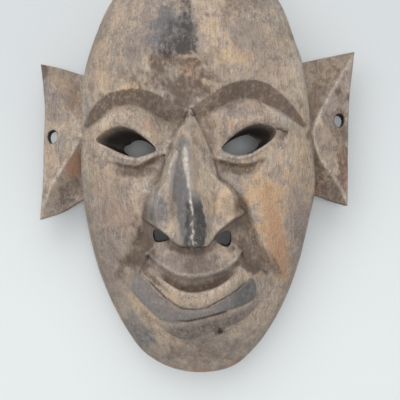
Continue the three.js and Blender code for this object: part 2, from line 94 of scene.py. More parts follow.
@dataclass(frozen=True)
class Profile:
    """A smooth function of one variable through given values."""

    stations: tuple[float, ...]
    values: tuple[float, ...]

    def at(self, v: Array) -> Array:
        """Return the value at v, read off a Catmull-Rom curve through the stations."""
        path = spline(np.stack([self.stations, self.values], 1), 8, False)
        return np.interp(v, path[:, 0], path[:, 1])


def read_run(run: Points, t: Array) -> Array:
    """Return points on the curve through a run of points, at shares t of its steps."""
    path = spline(run, STEPS, False)
    return np.stack([np.interp(t, np.linspace(0, 1, len(path)), c) for c in path.T], -1)


def along(values: Sequence[float], share: Array) -> Array:
    """Return values spread evenly along a line, at shares 0 to 1 of its length."""
    return Profile(tuple(np.linspace(0.0, 1.0, len(values))), tuple(values)).at(share)


def blended(corner: Callable[[int, int], Array], s: Array, t: Array) -> Array:
    """Blend the values at the corners of a lattice square.

    Args:
        corner: gives the values at a corner, from its steps across and along.
        s: shares of the way across.
        t: shares of the way along.

    Returns:
        One value a place.
    """
    low = corner(0, 0) * (1 - s) + corner(1, 0) * s
    high = corner(0, 1) * (1 - s) + corner(1, 1) * s
    return low * (1 - t) + high * t


@dataclass(frozen=True)
class Noise:
    """Smooth random values: a square lattice, blended between its points by t^3 (t (6t - 15) + 10)."""

    seed: int
    across: float
    along: float
    size: int = 128

    def at(self, x: Array, y: Array) -> Array:
        """Read the values at plan positions.

        Args:
            x: positions across, in mm.
            y: positions along.

        Returns:
            Values from -1 to 1.
        """
        table = np.random.default_rng(self.seed).uniform(-1.0, 1.0, (self.size, self.size))
        u, v = x / self.across + self.size / 2, y / self.along + self.size / 2
        i, j = np.floor(u).astype(int), np.floor(v).astype(int)
        s, t = (w ** 3 * (w * (6 * w - 15) + 10) for w in (u - i, v - j))
        return blended(lambda di, dj: table[(i + di) % self.size, (j + dj) % self.size], s, t)


@dataclass
class Line:
    """A smooth line over the plan, open or closed, that tells how near a point is."""

    points: Points
    closed: bool = False
    path: Array = field(init=False, repr=False)
    run: Array = field(init=False, repr=False)
    starts: Array = field(init=False, repr=False)

    def __post_init__(self) -> None:
        """Work out the curve, the run back to its start if closed, and the length to each point."""
        self.path = spline(self.points, STEPS, self.closed)
        self.run = np.vstack([self.path, self.path[:1]]) if self.closed else self.path
        self.starts = np.concatenate([[0.0], np.cumsum(np.hypot(*np.diff(self.run, axis=0).T))])

    def near(self, x: Array, y: Array, within: float = 400.0) -> Pair:
        """Measure the distance from the line.

        Args:
            x: positions across.
            y: positions along.
            within: points further than this from the line's box aren't measured.

        Returns:
            The distance, positive to the left of an open line and inside a closed one, and the
            share of the line's length at the nearest point.
        """
        gap = np.full(x.shape, -within if self.closed else within)
        share = np.zeros(x.shape)
        low, high = self.path.min(0) - within, self.path.max(0) + within
        close = (x > low[0]) & (x < high[0]) & (y > low[1]) & (y < high[1])
        gap[close], share[close] = self.measured(x[close], y[close])
        return gap, share

    def measured(self, x: Array, y: Array) -> Pair:
        """Measure flat lists of points against every straight piece of the line.

        Args:
            x: positions across, in mm.
            y: positions along.

        Returns:
            Signed distances and shares, as near gives them.
        """
        pieces = np.diff(self.run, axis=0)
        best, side = np.full(x.shape, np.inf), np.ones(x.shape)
        share, odd = np.zeros(x.shape), np.zeros(x.shape, bool)
        for (ax, ay), (sx, sy), size, start in zip(self.run, pieces, np.hypot(*pieces.T), self.starts):
            wx, wy = x - ax, y - ay
            h = np.clip((wx * sx + wy * sy) / size ** 2, 0.0, 1.0)
            gap = (wx - h * sx) ** 2 + (wy - h * sy) ** 2
            closer = gap < best
            best = np.where(closer, gap, best)
            share = np.where(closer, (start + h * size) / self.starts[-1], share)
            side = np.where(closer, np.where(sx * wy >= sy * wx, 1.0, -1.0), side)
            if self.closed and sy != 0.0:
                odd ^= ((ay > y) != (ay + sy > y)) & (x < ax + wy * sx / sy)
        return np.sqrt(best) * (np.where(odd, 1.0, -1.0) if self.closed else side), share

    def spaced(self, count: int) -> Array:
        """Return points evenly spaced round a closed line, count rows of x and y."""
        at = np.arange(count) / count * self.starts[-1]
        return np.stack([np.interp(at, self.starts, self.run[:, k]) for k in (0, 1)], 1)


@dataclass
class Swell:
    """A ridge or a groove along a line: height(t) * (1 - (d / width(t))^2)^power."""

    line: Line
    widths: tuple[float, ...]
    heights: tuple[float, ...]
    power: float = 1.0

    def parts(self, x: Array, y: Array) -> Pair:
        """Return 1 on the line falling to 0 at its width, and the share along it."""
        gap, share = self.line.near(x, y, max(self.widths))
        return np.clip(1.0 - (gap / along(self.widths, share)) ** 2, 0.0, 1.0), share

    def cover(self, x: Array, y: Array) -> Array:
        """Return 1 on the line falling to 0 at its width."""
        return self.parts(x, y)[0]

    def rise(self, x: Array, y: Array) -> Array:
        """Return the height that the swell adds."""
        bump, share = self.parts(x, y)
        return along(self.heights, share) * bump ** self.power


@dataclass
class Ledge:
    """A ledge, as of a brow: a crisp upper edge, a band sloping in, and a hollow that fades."""

    line: Line
    widths: tuple[float, ...]
    depths: tuple[float, ...]
    fades: tuple[float, ...]
    edge: float = 0.12

    def parts(self, x: Array, y: Array) -> tuple[Array, Array, Array, Array]:
        """Return distance over width, share along, where it holds, and exp(-distance / fade) below."""
        gap, share = self.line.near(x, y, 30.0)
        width = along(self.widths, share)
        q = gap / width
        holds = ((share > 0) & (share < 1)) | (np.abs(gap) < width)
        return q, share, holds, np.exp(np.minimum(q + 1, 0.0) * width / along(self.fades, share))

    def rise(self, x: Array, y: Array) -> Array:
        """Return the cut, under zero: it deepens evenly over the band, then fades below it."""
        q, share, holds, fading = self.parts(x, y)
        slope = 0.5 * (soft_above(1 - q, self.edge) - soft_above(-1 - q, self.edge))
        return -along(self.depths, share) * slope * fading * holds

    def cover(self, x: Array, y: Array) -> Array:
        """Return 1 on the band, 0 off it, with narrow borders."""
        q, share, holds, _ = self.parts(x, y)
        ends = ramp(0.0, 0.06, share) * ramp(1.0, 0.97, share)
        return ramp(1.15, 0.85, q) * ramp(-1.5, -0.8, q) * holds * ends

    def hollow(self, x: Array, y: Array) -> Array:
        """Return 1 from the upper edge down into the hollow, fading with it."""
        q, share, holds, fading = self.parts(x, y)
        return ramp(1.2, 0.2, q) * fading * holds * ramp(0.0, 0.2, share) * ramp(1.0, 0.8, share)


class Sunk:
    """A feature that lies lower than the face by its depth where it covers."""

    depth: float

    def rise(self, x: Array, y: Array) -> Array:
        """Return minus the depth times the cover."""
        return -self.depth * self.cover(x, y)


@dataclass
class Fold(Sunk):
    """The edge of a cheek beside the mouth: a step down inwards that runs out again."""

    line: Line
    inward: float
    depth: float
    step: tuple[float, float]
    run_out: tuple[float, float] = (5.0, 20.0)

    def cover(self, x: Array, y: Array) -> Array:
        """Return 1 on the inner side, blended in at the line and out beyond it and at its ends."""
        gap, share = self.line.near(x, y, 24.0)
        across = ramp(*self.step, gap * self.inward) * (1 - ramp(*self.run_out, gap * self.inward))
        return across * ramp(0.0, 0.15, share) * (1 - ramp(0.55, 1.0, share))


@dataclass
class Cut(Sunk):
    """A narrow crack or knife cut: -depth * exp(-(d / half width)^2), fading at both ends."""

    line: Line
    depth: float
    half_width: float

    def cover(self, x: Array, y: Array) -> Array:
        """Return 1 in the cut falling to 0 beside it."""
        gap, share = self.line.near(x, y, 6.0)
        return np.exp(-(gap / self.half_width) ** 2) * (ramp(0.0, 0.12, share) * ramp(1.0, 0.88, share))


@dataclass
class Mound:
    """A round or oval swelling or pit: height * (1 - r^2)^power, r the distance over its radii."""

    x: float
    y: float
    across: float
    along: float
    height: float
    power: float = 2.0
    turn: float = 0.0

    def rise(self, x: Array, y: Array) -> Array:
        """Return the height that it adds."""
        u, v = oval_shares(self, x, y)
        return self.height * np.clip(1 - (u ** 2 + v ** 2), 0.0, 1.0) ** self.power


@dataclass
class Plate:
    """The raised plate under the nose, lower towards its points, with bevelled sides."""

    line: Line
    middle: float = -1.4
    height: float = 7.5
    bow: float = 0.0055
    bevel: tuple[float, float] = (-1.4, 2.0)

    def cover(self, x: Array, y: Array, soft: float = 0.5) -> Array:
        """Return 1 inside the outline and 0 outside it, blended over soft on each side."""
        return ramp(-soft, soft, self.line.near(x, y, 8.0)[0])

    def rise(self, x: Array, y: Array) -> Array:
        """Return (height - bow * x^2) times a blend across the outline."""
        across = ramp(*self.bevel, self.line.near(x, y, 8.0)[0])
        return (self.height - self.bow * (x - self.middle) ** 2) * across


Feature = Swell | Ledge | Fold | Cut | Mound | Plate


@dataclass
class Wing:
    """The side of the nose over one nostril: a crest line with a slope on each side."""

    line: Line
    tops: tuple[float, ...]
    outward: float
    outer: float
    inner: float
    blunt: float = 0.4

    def top(self, x: Array, y: Array) -> Array:
        """Return crest(t) less the slope of that side times the distance."""
        gap, share = self.line.near(x, y)
        slope = np.where(gap * self.outward > 0, self.outer, self.inner)
        return along(self.tops, share) - slope * (np.sqrt(gap * gap + self.blunt ** 2) - self.blunt)


@dataclass
class Nose:
    """A blunt ridge with a sloping wing on each side, held inside its foot line.

    Slopes are heights over distances: slope beside the ridge, side in from the foot, tip at the end.
    """

    foot: Line
    end: Line
    ridge_x: Profile
    ridge_top: Profile
    wings: tuple[Wing, ...]
    slope: float = 1.5
    blunt: float = 3.4
    side: float = 2.8
    tip: float = 11.0
    blend: float = 0.5

    def rise(self, x: Array, y: Array, z: Array) -> Array:
        """Return how far the nose stands over the carved face.

        The top is the highest of the ridge and the wings. It is cut down to side * distance
        inside the foot line and to tip * distance behind the end line.

        Args:
            x: positions across.
            y: positions along.
            z: height of the face without the nose.

        Returns:
            Heights from 0 up.
        """
        away = x - self.ridge_x.at(y)
        top = self.ridge_top.at(y) - self.slope * (np.hypot(away, self.blunt) - self.blunt)
        for wing in self.wings:
            top = soft_max(top, wing.top(x, y), self.blend)
        inside, _ = self.foot.near(x, y, 20.0)
        behind, _ = self.end.near(x, y)
        held = np.minimum(self.side * np.maximum(inside, 0), self.tip * np.maximum(behind, 0))
        return np.maximum(0.0, np.minimum(top - z, held))


@dataclass
class Opening:
    """An eye or nostril: a funnel from its rim on the face to a smaller hole behind."""

    front: Line
    back: Line
    depth: float
    lip: float = 0.9
    sides: int = 84
    rings: int = 9
    lip_width: float = 1.6
    bow: float = 0.8

    def worn(self, x: Array, y: Array) -> Array:
        """Return the rounding of the rim: -lip * (1 - gap / lip_width)^2 just outside it."""
        outside = np.minimum(self.front.near(x, y, 4.0)[0], 0)
        return -self.lip * np.clip(1 + outside / self.lip_width, 0.0, 1.0) ** 2


class Kind(Enum):
    """What a patch of the surface carries: patina, bare wood, and in some UMBER, OCHRE and PALE patches
    painted shade and painted light.
    """

    UMBER = "umber"
    CHAR = "char"
    SLATE = "slate"
    PLUM = "plum"
    OCHRE = "ochre"
    RUST = "rust"
    PALE = "pale"


@dataclass(frozen=True)
class Patch:
    """A patch of patina, bare wood, painted shade or painted light: an oval with a ragged border."""

    x: float
    y: float
    across: float
    along: float
    strength: float
    turn: float
    border: float
    ragged: float

    def cover(self, x: Array, y: Array, rough: Array) -> Array:
        """Return strength times a blend over the border.

        Args:
            x: positions across, in mm.
            y: positions along.
            rough: random values from -1 to 1 that shake the distance from the middle.

        Returns:
            Values from 0 to the strength.
        """
        away = np.hypot(*oval_shares(self, x, y)) + self.ragged * rough
        return self.strength * ramp(1.0 + self.border, 1.0 - self.border, away)


def oval_shares(oval: Mound | Patch, x: Array, y: Array) -> Pair:
    """Return the distances from an oval's middle, turned with it, in shares of its two radii."""
    c, s = np.cos(oval.turn), np.sin(oval.turn)
    u, v = x - oval.x, y - oval.y
    return (u * c + v * s) / oval.across, (v * c - u * s) / oval.along


@dataclass
class Solid:
    """A closed body as points in mm and lists of faces with three or four corners."""

    points: Array
    faces: list[Array]

    def outward(self) -> "Solid":
        """Return the body with its faces turned outwards, judged by its signed volume."""
        volume = 0.0
        for face in self.faces:
            corner = [self.points[face[:, k]] for k in range(face.shape[1])]
            for k in range(1, face.shape[1] - 1):
                volume += np.einsum("ij,ij->", corner[0], np.cross(corner[k], corner[k + 1]))
        return self if volume > 0 else Solid(self.points, [f[:, ::-1] for f in self.faces])

    def as_object(self, name: str) -> bpy.types.Object:
        """Make a Blender object of the body.

        Args:
            name: the object's name.

        Returns:
            The object, linked to the scene, with its place in its mesh.
        """
        turned = self.outward()
        corners = np.concatenate([f.ravel() for f in turned.faces]).astype(np.int32)
        sizes = np.concatenate([np.full(len(f), f.shape[1]) for f in turned.faces])
        starts = np.concatenate([[0], np.cumsum(sizes)[:-1]]).astype(np.int32)
        mesh = bpy.data.meshes.new(name)
        mesh.vertices.add(len(turned.points))
        mesh.vertices.foreach_set("co", (turned.points * MM).astype(np.float32).ravel())
        mesh.loops.add(len(corners))
        mesh.loops.foreach_set("vertex_index", corners)
        mesh.polygons.add(len(starts))
        mesh.polygons.foreach_set("loop_start", starts)
        mesh.update(calc_edges=True)
        return in_scene(name, mesh)


def grid_triangles(z: Array) -> Array:
    """Split each square of a grid along its more level diagonal, so that carved edges stay straight.

    Args:
        z: heights, rows by columns.

    Returns:
        Rows of three point numbers.
    """
    rows, columns = z.shape
    number = np.arange(rows * columns).reshape(rows, columns)
    low, high = number[:-1], number[1:]
    p, q, r, s = (n.ravel() for n in (low[:, :-1], low[:, 1:], high[:, 1:], high[:, :-1]))
    level = z.ravel()
    across = (np.abs(level[q] - level[s]) < np.abs(level[p] - level[r]))[:, None]
    first = np.where(across, np.stack([p, q, s], 1), np.stack([p, q, r], 1))
    second = np.where(across, np.stack([q, r, s], 1), np.stack([p, r, s], 1))
    return np.vstack([first, second])


def in_scene(name: str, data: bpy.types.ID) -> bpy.types.Object:
    """Make an object of a mesh, light or camera and link it to the scene."""
    made = bpy.data.objects.new(name, data)
    bpy.context.scene.collection.objects.link(made)
    return made


def border_of(rows: int, columns: int) -> Array:
    """Return the point numbers round the border of a grid, in order."""
    number = np.arange(rows * columns).reshape(rows, columns)
    return np.concatenate([number[0, :-1], number[:-1, -1], number[-1, :0:-1], number[:0:-1, 0]])


def band(first: Array, second: Array) -> Array:
    """Return squares between two closed rows of point numbers of one length."""
    return np.stack([first, np.roll(first, -1), np.roll(second, -1), second], 1)


def fan(loop: Array, middle: int) -> Array:
    """Return triangles between a closed row of point numbers and one point."""
    return np.stack([loop, np.roll(loop, -1), np.full(len(loop), middle)], 1)


def in_rows(*parts: Array) -> Array:
    """Return arrays of x, y and z as one row a point."""
    return np.stack([part.ravel() for part in parts], 1)


def lofted(rings: Sequence[Array]) -> Solid:
    """Close a tube through rings of points with a fan at each end.

    Args:
        rings: arrays of one length, each row a point.

    Returns:
        The closed body.
    """
    count = len(rings[0])
    points = np.vstack([*rings, rings[0].mean(0)[None], rings[-1].mean(0)[None]])
    loops = [np.arange(count) + count * k for k in range(len(rings))]
    walls = [band(a, b) for a, b in zip(loops[:-1], loops[1:])]
    first, last = fan(loops[0], len(points) - 2)[:, ::-1], fan(loops[-1], len(points) - 1)
    return Solid(points, [np.vstack(walls), first, last])


@dataclass
class Head:
    """The carved head: its plan, its dome, its features and the hollow behind it."""

    outline: Line
    crest: Profile
    edge: Profile
    fullness: Profile
    roundness: Profile
    features: dict[str, Feature]
    nose: Nose
    openings: tuple[Opening, ...]
    rim: float = 12.5
    wall: float = 15.0
    columns: int = 168
    rows: int = 284
    core: float = 0.9
    shoulder_rings: int = 11
    arch_rise: float = 15.0
    arch: tuple[float, float] = (-112.0, 106.0)
    arch_power: float = 0.9
    crowd: float = 0.18
    hollow_grid: tuple[int, int] = (112, 64)
    pocket_at: tuple[float, float] = (-3.0, -36.0)
    pocket_size: tuple[float, float] = (11.0, 24.0)
    pocket_height: float = 13.0
    cutter: tuple[float, float] = (125.0, 170.0)
    corner: float = 1.4
    half_width: float = 71.0
    half_length: float = 133.5

    def reach(self, angle: Array) -> Array:
        """Return how far the outline is from the origin in each direction."""
        path = self.outline.path
        angles = np.arctan2(path[:, 1], path[:, 0])
        order = np.argsort(angles)
        radii = np.hypot(path[:, 0], path[:, 1])
        return np.interp(angle, angles[order], radii[order], period=2 * np.pi)

    def inside(self, x: Array, y: Array) -> Array:
        """Return 0 at the middle and 1 on the outline, measured along the radius."""
        return np.hypot(x, y) / self.reach(np.arctan2(y, x))

    def dome(self, x: Array, y: Array) -> Array:
        """Return the plain head: edge + (crest - edge) * (1 - rho^fullness)^(1 / roundness)."""
        rho = np.minimum(self.inside(x, y), 1.0)
        rise = (1 - rho ** self.fullness.at(y)) ** (1 / self.roundness.at(y))
        low = self.edge.at(y)
        return low + (self.crest.at(y) - low) * rise

    def tooled(self, x: Array, y: Array) -> Array:
        """Return the low facets left by the knife, under half a millimetre high."""
        wide = Noise(11, 13.0, 19.0).at(x, y)
        lean = x + 0.25 * y + 4.0 * Noise(12, 30.0, 30.0).at(x, y)
        scallop = np.abs(np.sin(lean * np.pi / 9.0 + 1.3 * Noise(13, 16.0, 26.0).at(x, y)))
        fine = Noise(14, 1.6, 5.0).at(x, y)
        return 0.32 * wide + 0.26 * scallop + 0.07 * fine

    def face(self, x: Array, y: Array) -> Array:
        """Return the height of the carved front over the table.

        The dome, plus every feature, plus the tool marks, with the nose on top and the rims of
        the openings rounded off.
        """
        z = self.dome(x, y) + self.tooled(x, y)
        for feature in self.features.values():
            z = z + feature.rise(x, y)
        z = z + self.nose.rise(x, y, z)
        for opening in self.openings:
            z = z + opening.worn(x, y)
        return z

    def arch_at(self, y: Array) -> Array:
        """Return the height of the low arch under both sides: rise * sin(pi t)^power."""
        t = np.clip((y - self.arch[0]) / (self.arch[1] - self.arch[0]), 0.0, 1.0)
        return self.arch_rise * np.sin(np.pi * t) ** self.arch_power

    def plan(self, rows: int, columns: int, crowd: float) -> Pair:
        """Bend a square grid onto the plan.

        A square point (a, b) goes to the disc point (a sqrt(1 - b^2 / 2), b sqrt(1 - a^2 / 2)),
        and the disc is stretched along each radius to the outline.

        Args:
            rows: lines across.
            columns: lines along.
            crowd: how much closer the lines are over the features.

        Returns:
            Positions across and along in mm, rows by columns.
        """
        a, b = np.meshgrid(np.linspace(-1, 1, columns), np.linspace(-1, 1, rows))
        a = a * (1 - crowd) + crowd * a ** 3
        b = b - crowd * (1 - b * b)
        u, v = a * np.sqrt(1 - b * b / 2), b * np.sqrt(1 - a * a / 2)
        angle = np.arctan2(v * self.half_length, u * self.half_width)
        radius = np.minimum(np.hypot(u, v), 1.0) * self.reach(angle)
        return radius * np.cos(angle), radius * np.sin(angle)

    def block(self) -> Solid:
        """Build the head before anything is cut out of it.

        A fine grid covers the middle of the face. Rings carry on from its border over the
        shoulder of the dome, where it turns down, and down the sides to a rounded lower corner.

        Returns:
            The closed body, reaching below the table.
        """
        x, y = self.plan(self.rows, self.columns, self.crowd)
        x, y = x * self.core, y * self.core
        z = self.face(x, y)
        loop = border_of(*z.shape)
        count = len(loop)
        edge_x, edge_y = x.ravel()[loop] / self.core, y.ravel()[loop] / self.core
        size, foot = np.hypot(edge_x, edge_y), self.arch_at(edge_y)
        nicks = 0.5 * Noise(21, 7.0, 7.0).at(edge_x, edge_y) + 0.3 * Noise(22, 3.0, 3.0).at(edge_x, edge_y)
        rings = []
        for rise in np.linspace(np.sqrt(1 - self.core ** 3), 0.0, self.shoulder_rings + 1)[1:]:
            share = (1 - rise ** 2) ** (1 / 3)
            rings.append((edge_x * share, edge_y * share, self.face(edge_x * share, edge_y * share)))
        top = rings[-1][2]
        lower = [(0.35 * np.sin(np.pi * share), top + (foot + self.corner - top) * share)
                 for share in (0.2, 0.42, 0.64, 0.84)]
        lower += [(self.corner * (1 - np.cos(turn)), foot + self.corner * (1 - np.sin(turn)))
                  for turn in np.linspace(0.0, 0.5 * np.pi, 4)]
        for inward, height in lower + [(self.corner, np.full(count, BELOW))]:
            inset = 1 - (inward + 0.3 * nicks) / size
            rings.append((edge_x * inset, edge_y * inset, height))
        points = [in_rows(x, y, z), *(in_rows(*ring) for ring in rings), [[0.0, 0.0, BELOW]]]
        loops = [loop] + [z.size + count * k + np.arange(count) for k in range(len(rings))]
        walls = np.vstack([band(b, a) for a, b in zip(loops[:-1], loops[1:])])
        cap = fan(loops[-1], z.size + count * len(rings))[:, [1, 0, 2]]
        return Solid(np.vstack(points), [grid_triangles(z), walls, cap])

    def ceiling(self, x: Array, y: Array) -> Array:
        """Return the ceiling of the hollow, a lower dome with a pocket behind the nose."""
        rho = np.minimum(np.hypot(x, y) / (self.reach(np.arctan2(y, x)) - self.rim), 1.0)
        rise = (1 - rho ** 2.8) ** (1 / 2.2)
        (at_x, at_y), (across, upwards) = self.pocket_at, self.pocket_size
        pocket = np.exp(-((x - at_x) / across) ** 2 - ((y - at_y) / upwards) ** 2)
        marks = np.abs(np.sin(x * np.pi / 11.0 + 1.6 * Noise(31, 18.0, 22.0).at(x, y)))
        scoops = 0.7 * marks + 0.5 * Noise(32, 9.0, 12.0).at(x, y)
        plain = (self.crest.at(y) - self.wall) * rise
        return plain + self.pocket_height * pocket + scoops * np.minimum(rise * 2, 1.0)

    def hollow(self) -> Solid:
        """Build the body that is cut out behind the face."""
        x, y = self.plan(*self.hollow_grid, 0.0)
        reach = self.reach(np.arctan2(y, x))
        rho = np.minimum(np.hypot(x, y) / reach, 1.0)
        share = (1 - self.rim / reach) * (1 + 0.3 * (1 - rho))
        x, y = x * share, y * share
        z = self.ceiling(x, y)
        loop = border_of(*z.shape)
        count = len(loop)
        floor = in_rows(x.ravel()[loop], y.ravel()[loop], np.full(count, BELOW))
        low = z.size + np.arange(count)
        cap = fan(low, z.size + count)[:, [1, 0, 2]]
        points = np.vstack([in_rows(x, y, z), floor, [[0.0, 0.0, BELOW]]])
        return Solid(points, [grid_triangles(z), band(low, loop), cap])

    def arch_cutter(self) -> Solid:
        """Build what is cut off the back: all under the table, and the arch under both sides."""
        wide, far = self.cutter
        y = np.concatenate([[-far, -far], np.linspace(*self.arch, 90), [far, far]])
        z = self.arch_at(y)
        z[0] = z[-1] = 2 * BELOW
        return lofted([in_rows(np.full(y.shape, x), y, z) for x in (-wide, wide)])

    def tunnel(self, opening: Opening) -> Solid:
        """Build the body that is cut out for an opening.

        Rings run from the rim on the face to the smaller hole behind. The wall between them
        bows: its share goes as t^bow.

        Args:
            opening: the eye or nostril.

        Returns:
            The closed body, from below the table to above the nose.
        """
        rim, back = (line.spaced(opening.sides) for line in (opening.front, opening.back))
        top = np.maximum(self.face(*rim.T) - 0.3, opening.depth + 1)
        rings = [np.column_stack([back, np.full(opening.sides, BELOW)])]
        for t in np.linspace(0.0, 1.0, opening.rings):
            height = opening.depth + (top - opening.depth) * t
            rings.append(np.column_stack([back + (rim - back) * t ** opening.bow, height]))
        return lofted([*rings, np.column_stack([rim, np.full(opening.sides, ABOVE)])])


@dataclass
class Ridge:
    """A ridge of an ear from the raised inner point to a tip, falling away towards the head."""

    line: Line
    valley: tuple[float, float]
    slopes: tuple[float, ...] = (1.9, 1.6, 1.15, 0.85, 0.7)
    wear: float = 0.7

    def gap(self, x: Array, y: Array) -> Pair:
        """Return the distance past the ridge on the head's side, and the share along it."""
        side = self.line.near(*np.array(self.valley)[:, None])[0]
        gap, share = self.line.near(x, y)
        return gap * np.sign(side[0]), share

    def drop(self, x: Array, y: Array) -> Array:
        """Return how far the facet beyond the ridge lies under the outer facet."""
        gap, share = self.gap(x, y)
        return along(self.slopes, share) * soft_above(gap, self.wear)


@dataclass
class Ear:
    """A square ear with three facets, a pointed tip above and below, and a hole for a cord."""

    side: float
    low_edge: Points
    outer_edge: Points
    top_edge: Points
    inner_edge: Points
    upper: Ridge
    lower: Ridge
    apex: tuple[float, float, float]
    hole: tuple[float, float]
    shades: tuple[float, float]
    # How strongly each ridge is painted pale: wear with a painted highlight.
    worn: tuple[float, float]
    tip_height: float = 29.5
    facet_width: float = 27.0
    hole_across: float = 6.0
    hole_along: float = 8.2
    hole_sides: int = 48
    root_back: float = 15.0
    tip_back: float = 19.0
    root_x: float = 71.0
    back_width: float = 25.0
    valley_floor: float = 25.0
    corner: float = 0.8
    chip: float = 1.2
    rounded_from: float = 62.0
    rows: int = 92
    columns: int = 46
    outward_crowd: float = 1.25
    end_crowd: float = 0.08

    def outer(self, x: Array, y: Array) -> Array:
        """Return the outer facet: a plane from the apex to the outer edge, slightly dished."""
        out = (x * self.side - abs(self.apex[0])) / self.facet_width
        dish = Mound(self.hole[0] - 2 * self.side, self.hole[1], 15.0, 34.0, -0.9, 1.5)
        marks = 0.22 * Noise(41, 7.0, 11.0).at(x, y) + 0.05 * Noise(42, 1.5, 4.0).at(x, y)
        return self.apex[2] + (self.tip_height - self.apex[2]) * out + dish.rise(x, y) + marks

    def border(self) -> Line:
        """Return the ear's outline as one closed line."""
        runs = (self.low_edge, self.outer_edge, self.top_edge[::-1])
        return Line(tuple(map(tuple, np.vstack([spline(run, STEPS, False)[:-1] for run in runs]))), True)

    def front(self, x: Array, y: Array) -> Array:
        """Return the height of the front.

        The outer facet less what falls away past each ridge, not lower than the valley floor,
        with the outline's corner rounded and chipped a little.
        """
        z = self.outer(x, y) - self.upper.drop(x, y) - self.lower.drop(x, y)
        z = soft_max(z, np.full(x.shape, self.valley_floor), 2.0)
        size = self.corner + self.chip * np.clip(Noise(43, 4.0, 4.0).at(x, y) - 0.35, 0, 1)
        short = np.clip(size - np.clip(self.border().near(x, y)[0], 0.0, None), 0.0, size)
        return z - (size - np.sqrt(size ** 2 - short ** 2)) * (np.abs(x) > self.rounded_from)

    def back(self, x: Array) -> Array:
        """Return the height of the slanted back."""
        out = (np.abs(x) - self.root_x) / self.back_width
        return self.root_back + (self.tip_back - self.root_back) * out

    def plan(self) -> Pair:
        """Fill the outline with a grid between its four edges (a Coons patch).

        Returns:
            Positions across and along, rows from the low edge to the top, columns outwards.
        """
        u = 1 - (1 - np.linspace(0.0, 1.0, self.columns)) ** self.outward_crowd
        turn = np.pi * (self.end_crowd + (1 - 2 * self.end_crowd) * np.linspace(0, 1, self.rows))
        v = 0.5 - 0.5 * np.cos(turn) / np.cos(self.end_crowd * np.pi)
        low, top = read_run(self.low_edge, u)[None], read_run(self.top_edge, u)[None]
        inner, outer = read_run(self.inner_edge, v)[:, None], read_run(self.outer_edge, v)[:, None]
        u, v = u[None, :, None], v[:, None, None]
        corners = ((1 - u) * (1 - v) * low[:, :1] + u * (1 - v) * low[:, -1:]
                   + (1 - u) * v * top[:, :1] + u * v * top[:, -1:])
        patch = (1 - v) * low + v * top + (1 - u) * inner + u * outer - corners
        return patch[..., 0], patch[..., 1]

    def body(self) -> Solid:
        """Build the ear as a closed slab between its front and its back."""
        x, y = self.plan()
        z, under = self.front(x, y), self.back(x)
        loop = border_of(*z.shape)
        faces = [grid_triangles(z), grid_triangles(under)[:, ::-1] + z.size, band(loop + z.size, loop)]
        return Solid(np.vstack([in_rows(x, y, z), in_rows(x, y, under)]), faces)

    def hole_cutter(self) -> Solid:
        """Build the pin that cuts the cord hole, a little wider at the front where it is worn."""
        turn = np.linspace(0, 2 * np.pi, self.hole_sides, endpoint=False)
        wobble = 1 + 0.03 * np.sin(2 * turn + 0.7) + 0.02 * np.sin(3 * turn)
        x, y = self.hole
        top = float(self.front(np.array([x]), np.array([y]))[0])
        rings = []
        for z, grow in ((BELOW, 0.0), (top - 1.6, 0.0), (top - 0.5, 0.2), (top + 0.4, 0.7), (ABOVE, 0.7)):
            across, upwards = ((size / 2 + grow) * wobble for size in (self.hole_across, self.hole_along))
            rings.append(in_rows(x + across * np.cos(turn), y + upwards * np.sin(turn),
                                 np.full(turn.shape, z)))
        return lofted(rings)


@dataclass
class Relief:
    """A height map of the whole front, to tell recesses from raised edges."""

    head: Head
    ears: tuple[Ear, ...]
    step: float = 0.75
    half_x: float = 101.0
    half_y: float = 139.0
    heights: Array = field(init=False, repr=False)
    within: Array = field(init=False, repr=False)

    def __post_init__(self) -> None:
        """Work out the map: the face inside the outline, the ears beside it, carried on past both."""
        x, y = np.meshgrid(*(np.arange(-half, half, self.step) for half in (self.half_x, self.half_y)))
        self.within = self.head.inside(x, y) < 1
        self.heights = np.where(self.within, self.head.face(x, y), 0.0)
        for ear in self.ears:
            on_ear = ear.border().near(x, y, 4.0)[0] > 0
            self.heights = np.where(on_ear, np.maximum(self.heights, ear.front(x, y)), self.heights)
            self.within |= on_ear
        self.heights = np.where(self.within, self.heights, self.blurred(3.0))

    def spread(self, values: Array, radius: float) -> Array:
        """Return values blurred by a Gaussian, row by row and then column by column."""
        reach = int(3 * radius / self.step)
        kernel = np.exp(-0.5 * (np.arange(-reach, reach + 1) * self.step / radius) ** 2)
        kernel /= kernel.sum()
        padded = np.pad(values, reach)
        rows = sum(w * padded[k:k + len(values)] for k, w in enumerate(kernel))
        return sum(w * rows[:, k:k + values.shape[1]] for k, w in enumerate(kernel))

    def blurred(self, radius: float) -> Array:
        """Return the map blurred over the mask alone, so that its outline doesn't count as an edge."""
        share = self.spread(self.within.astype(float), radius)
        return self.spread(self.heights * self.within, radius) / np.maximum(share, 1e-4)

    def read(self, values: Array, x: Array, y: Array) -> Array:
        """Read a map between its points by blending its four nearest values.

        Args:
            values: the map.
            x: positions across, in mm.
            y: positions along.

        Returns:
            One value a position.
        """
        u = np.clip((x + self.half_x) / self.step, 0, values.shape[1] - 1.001)
        v = np.clip((y + self.half_y) / self.step, 0, values.shape[0] - 1.001)
        i, j = u.astype(int), v.astype(int)
        return blended(lambda di, dj: values[j + dj, i + di], u - i, v - j)


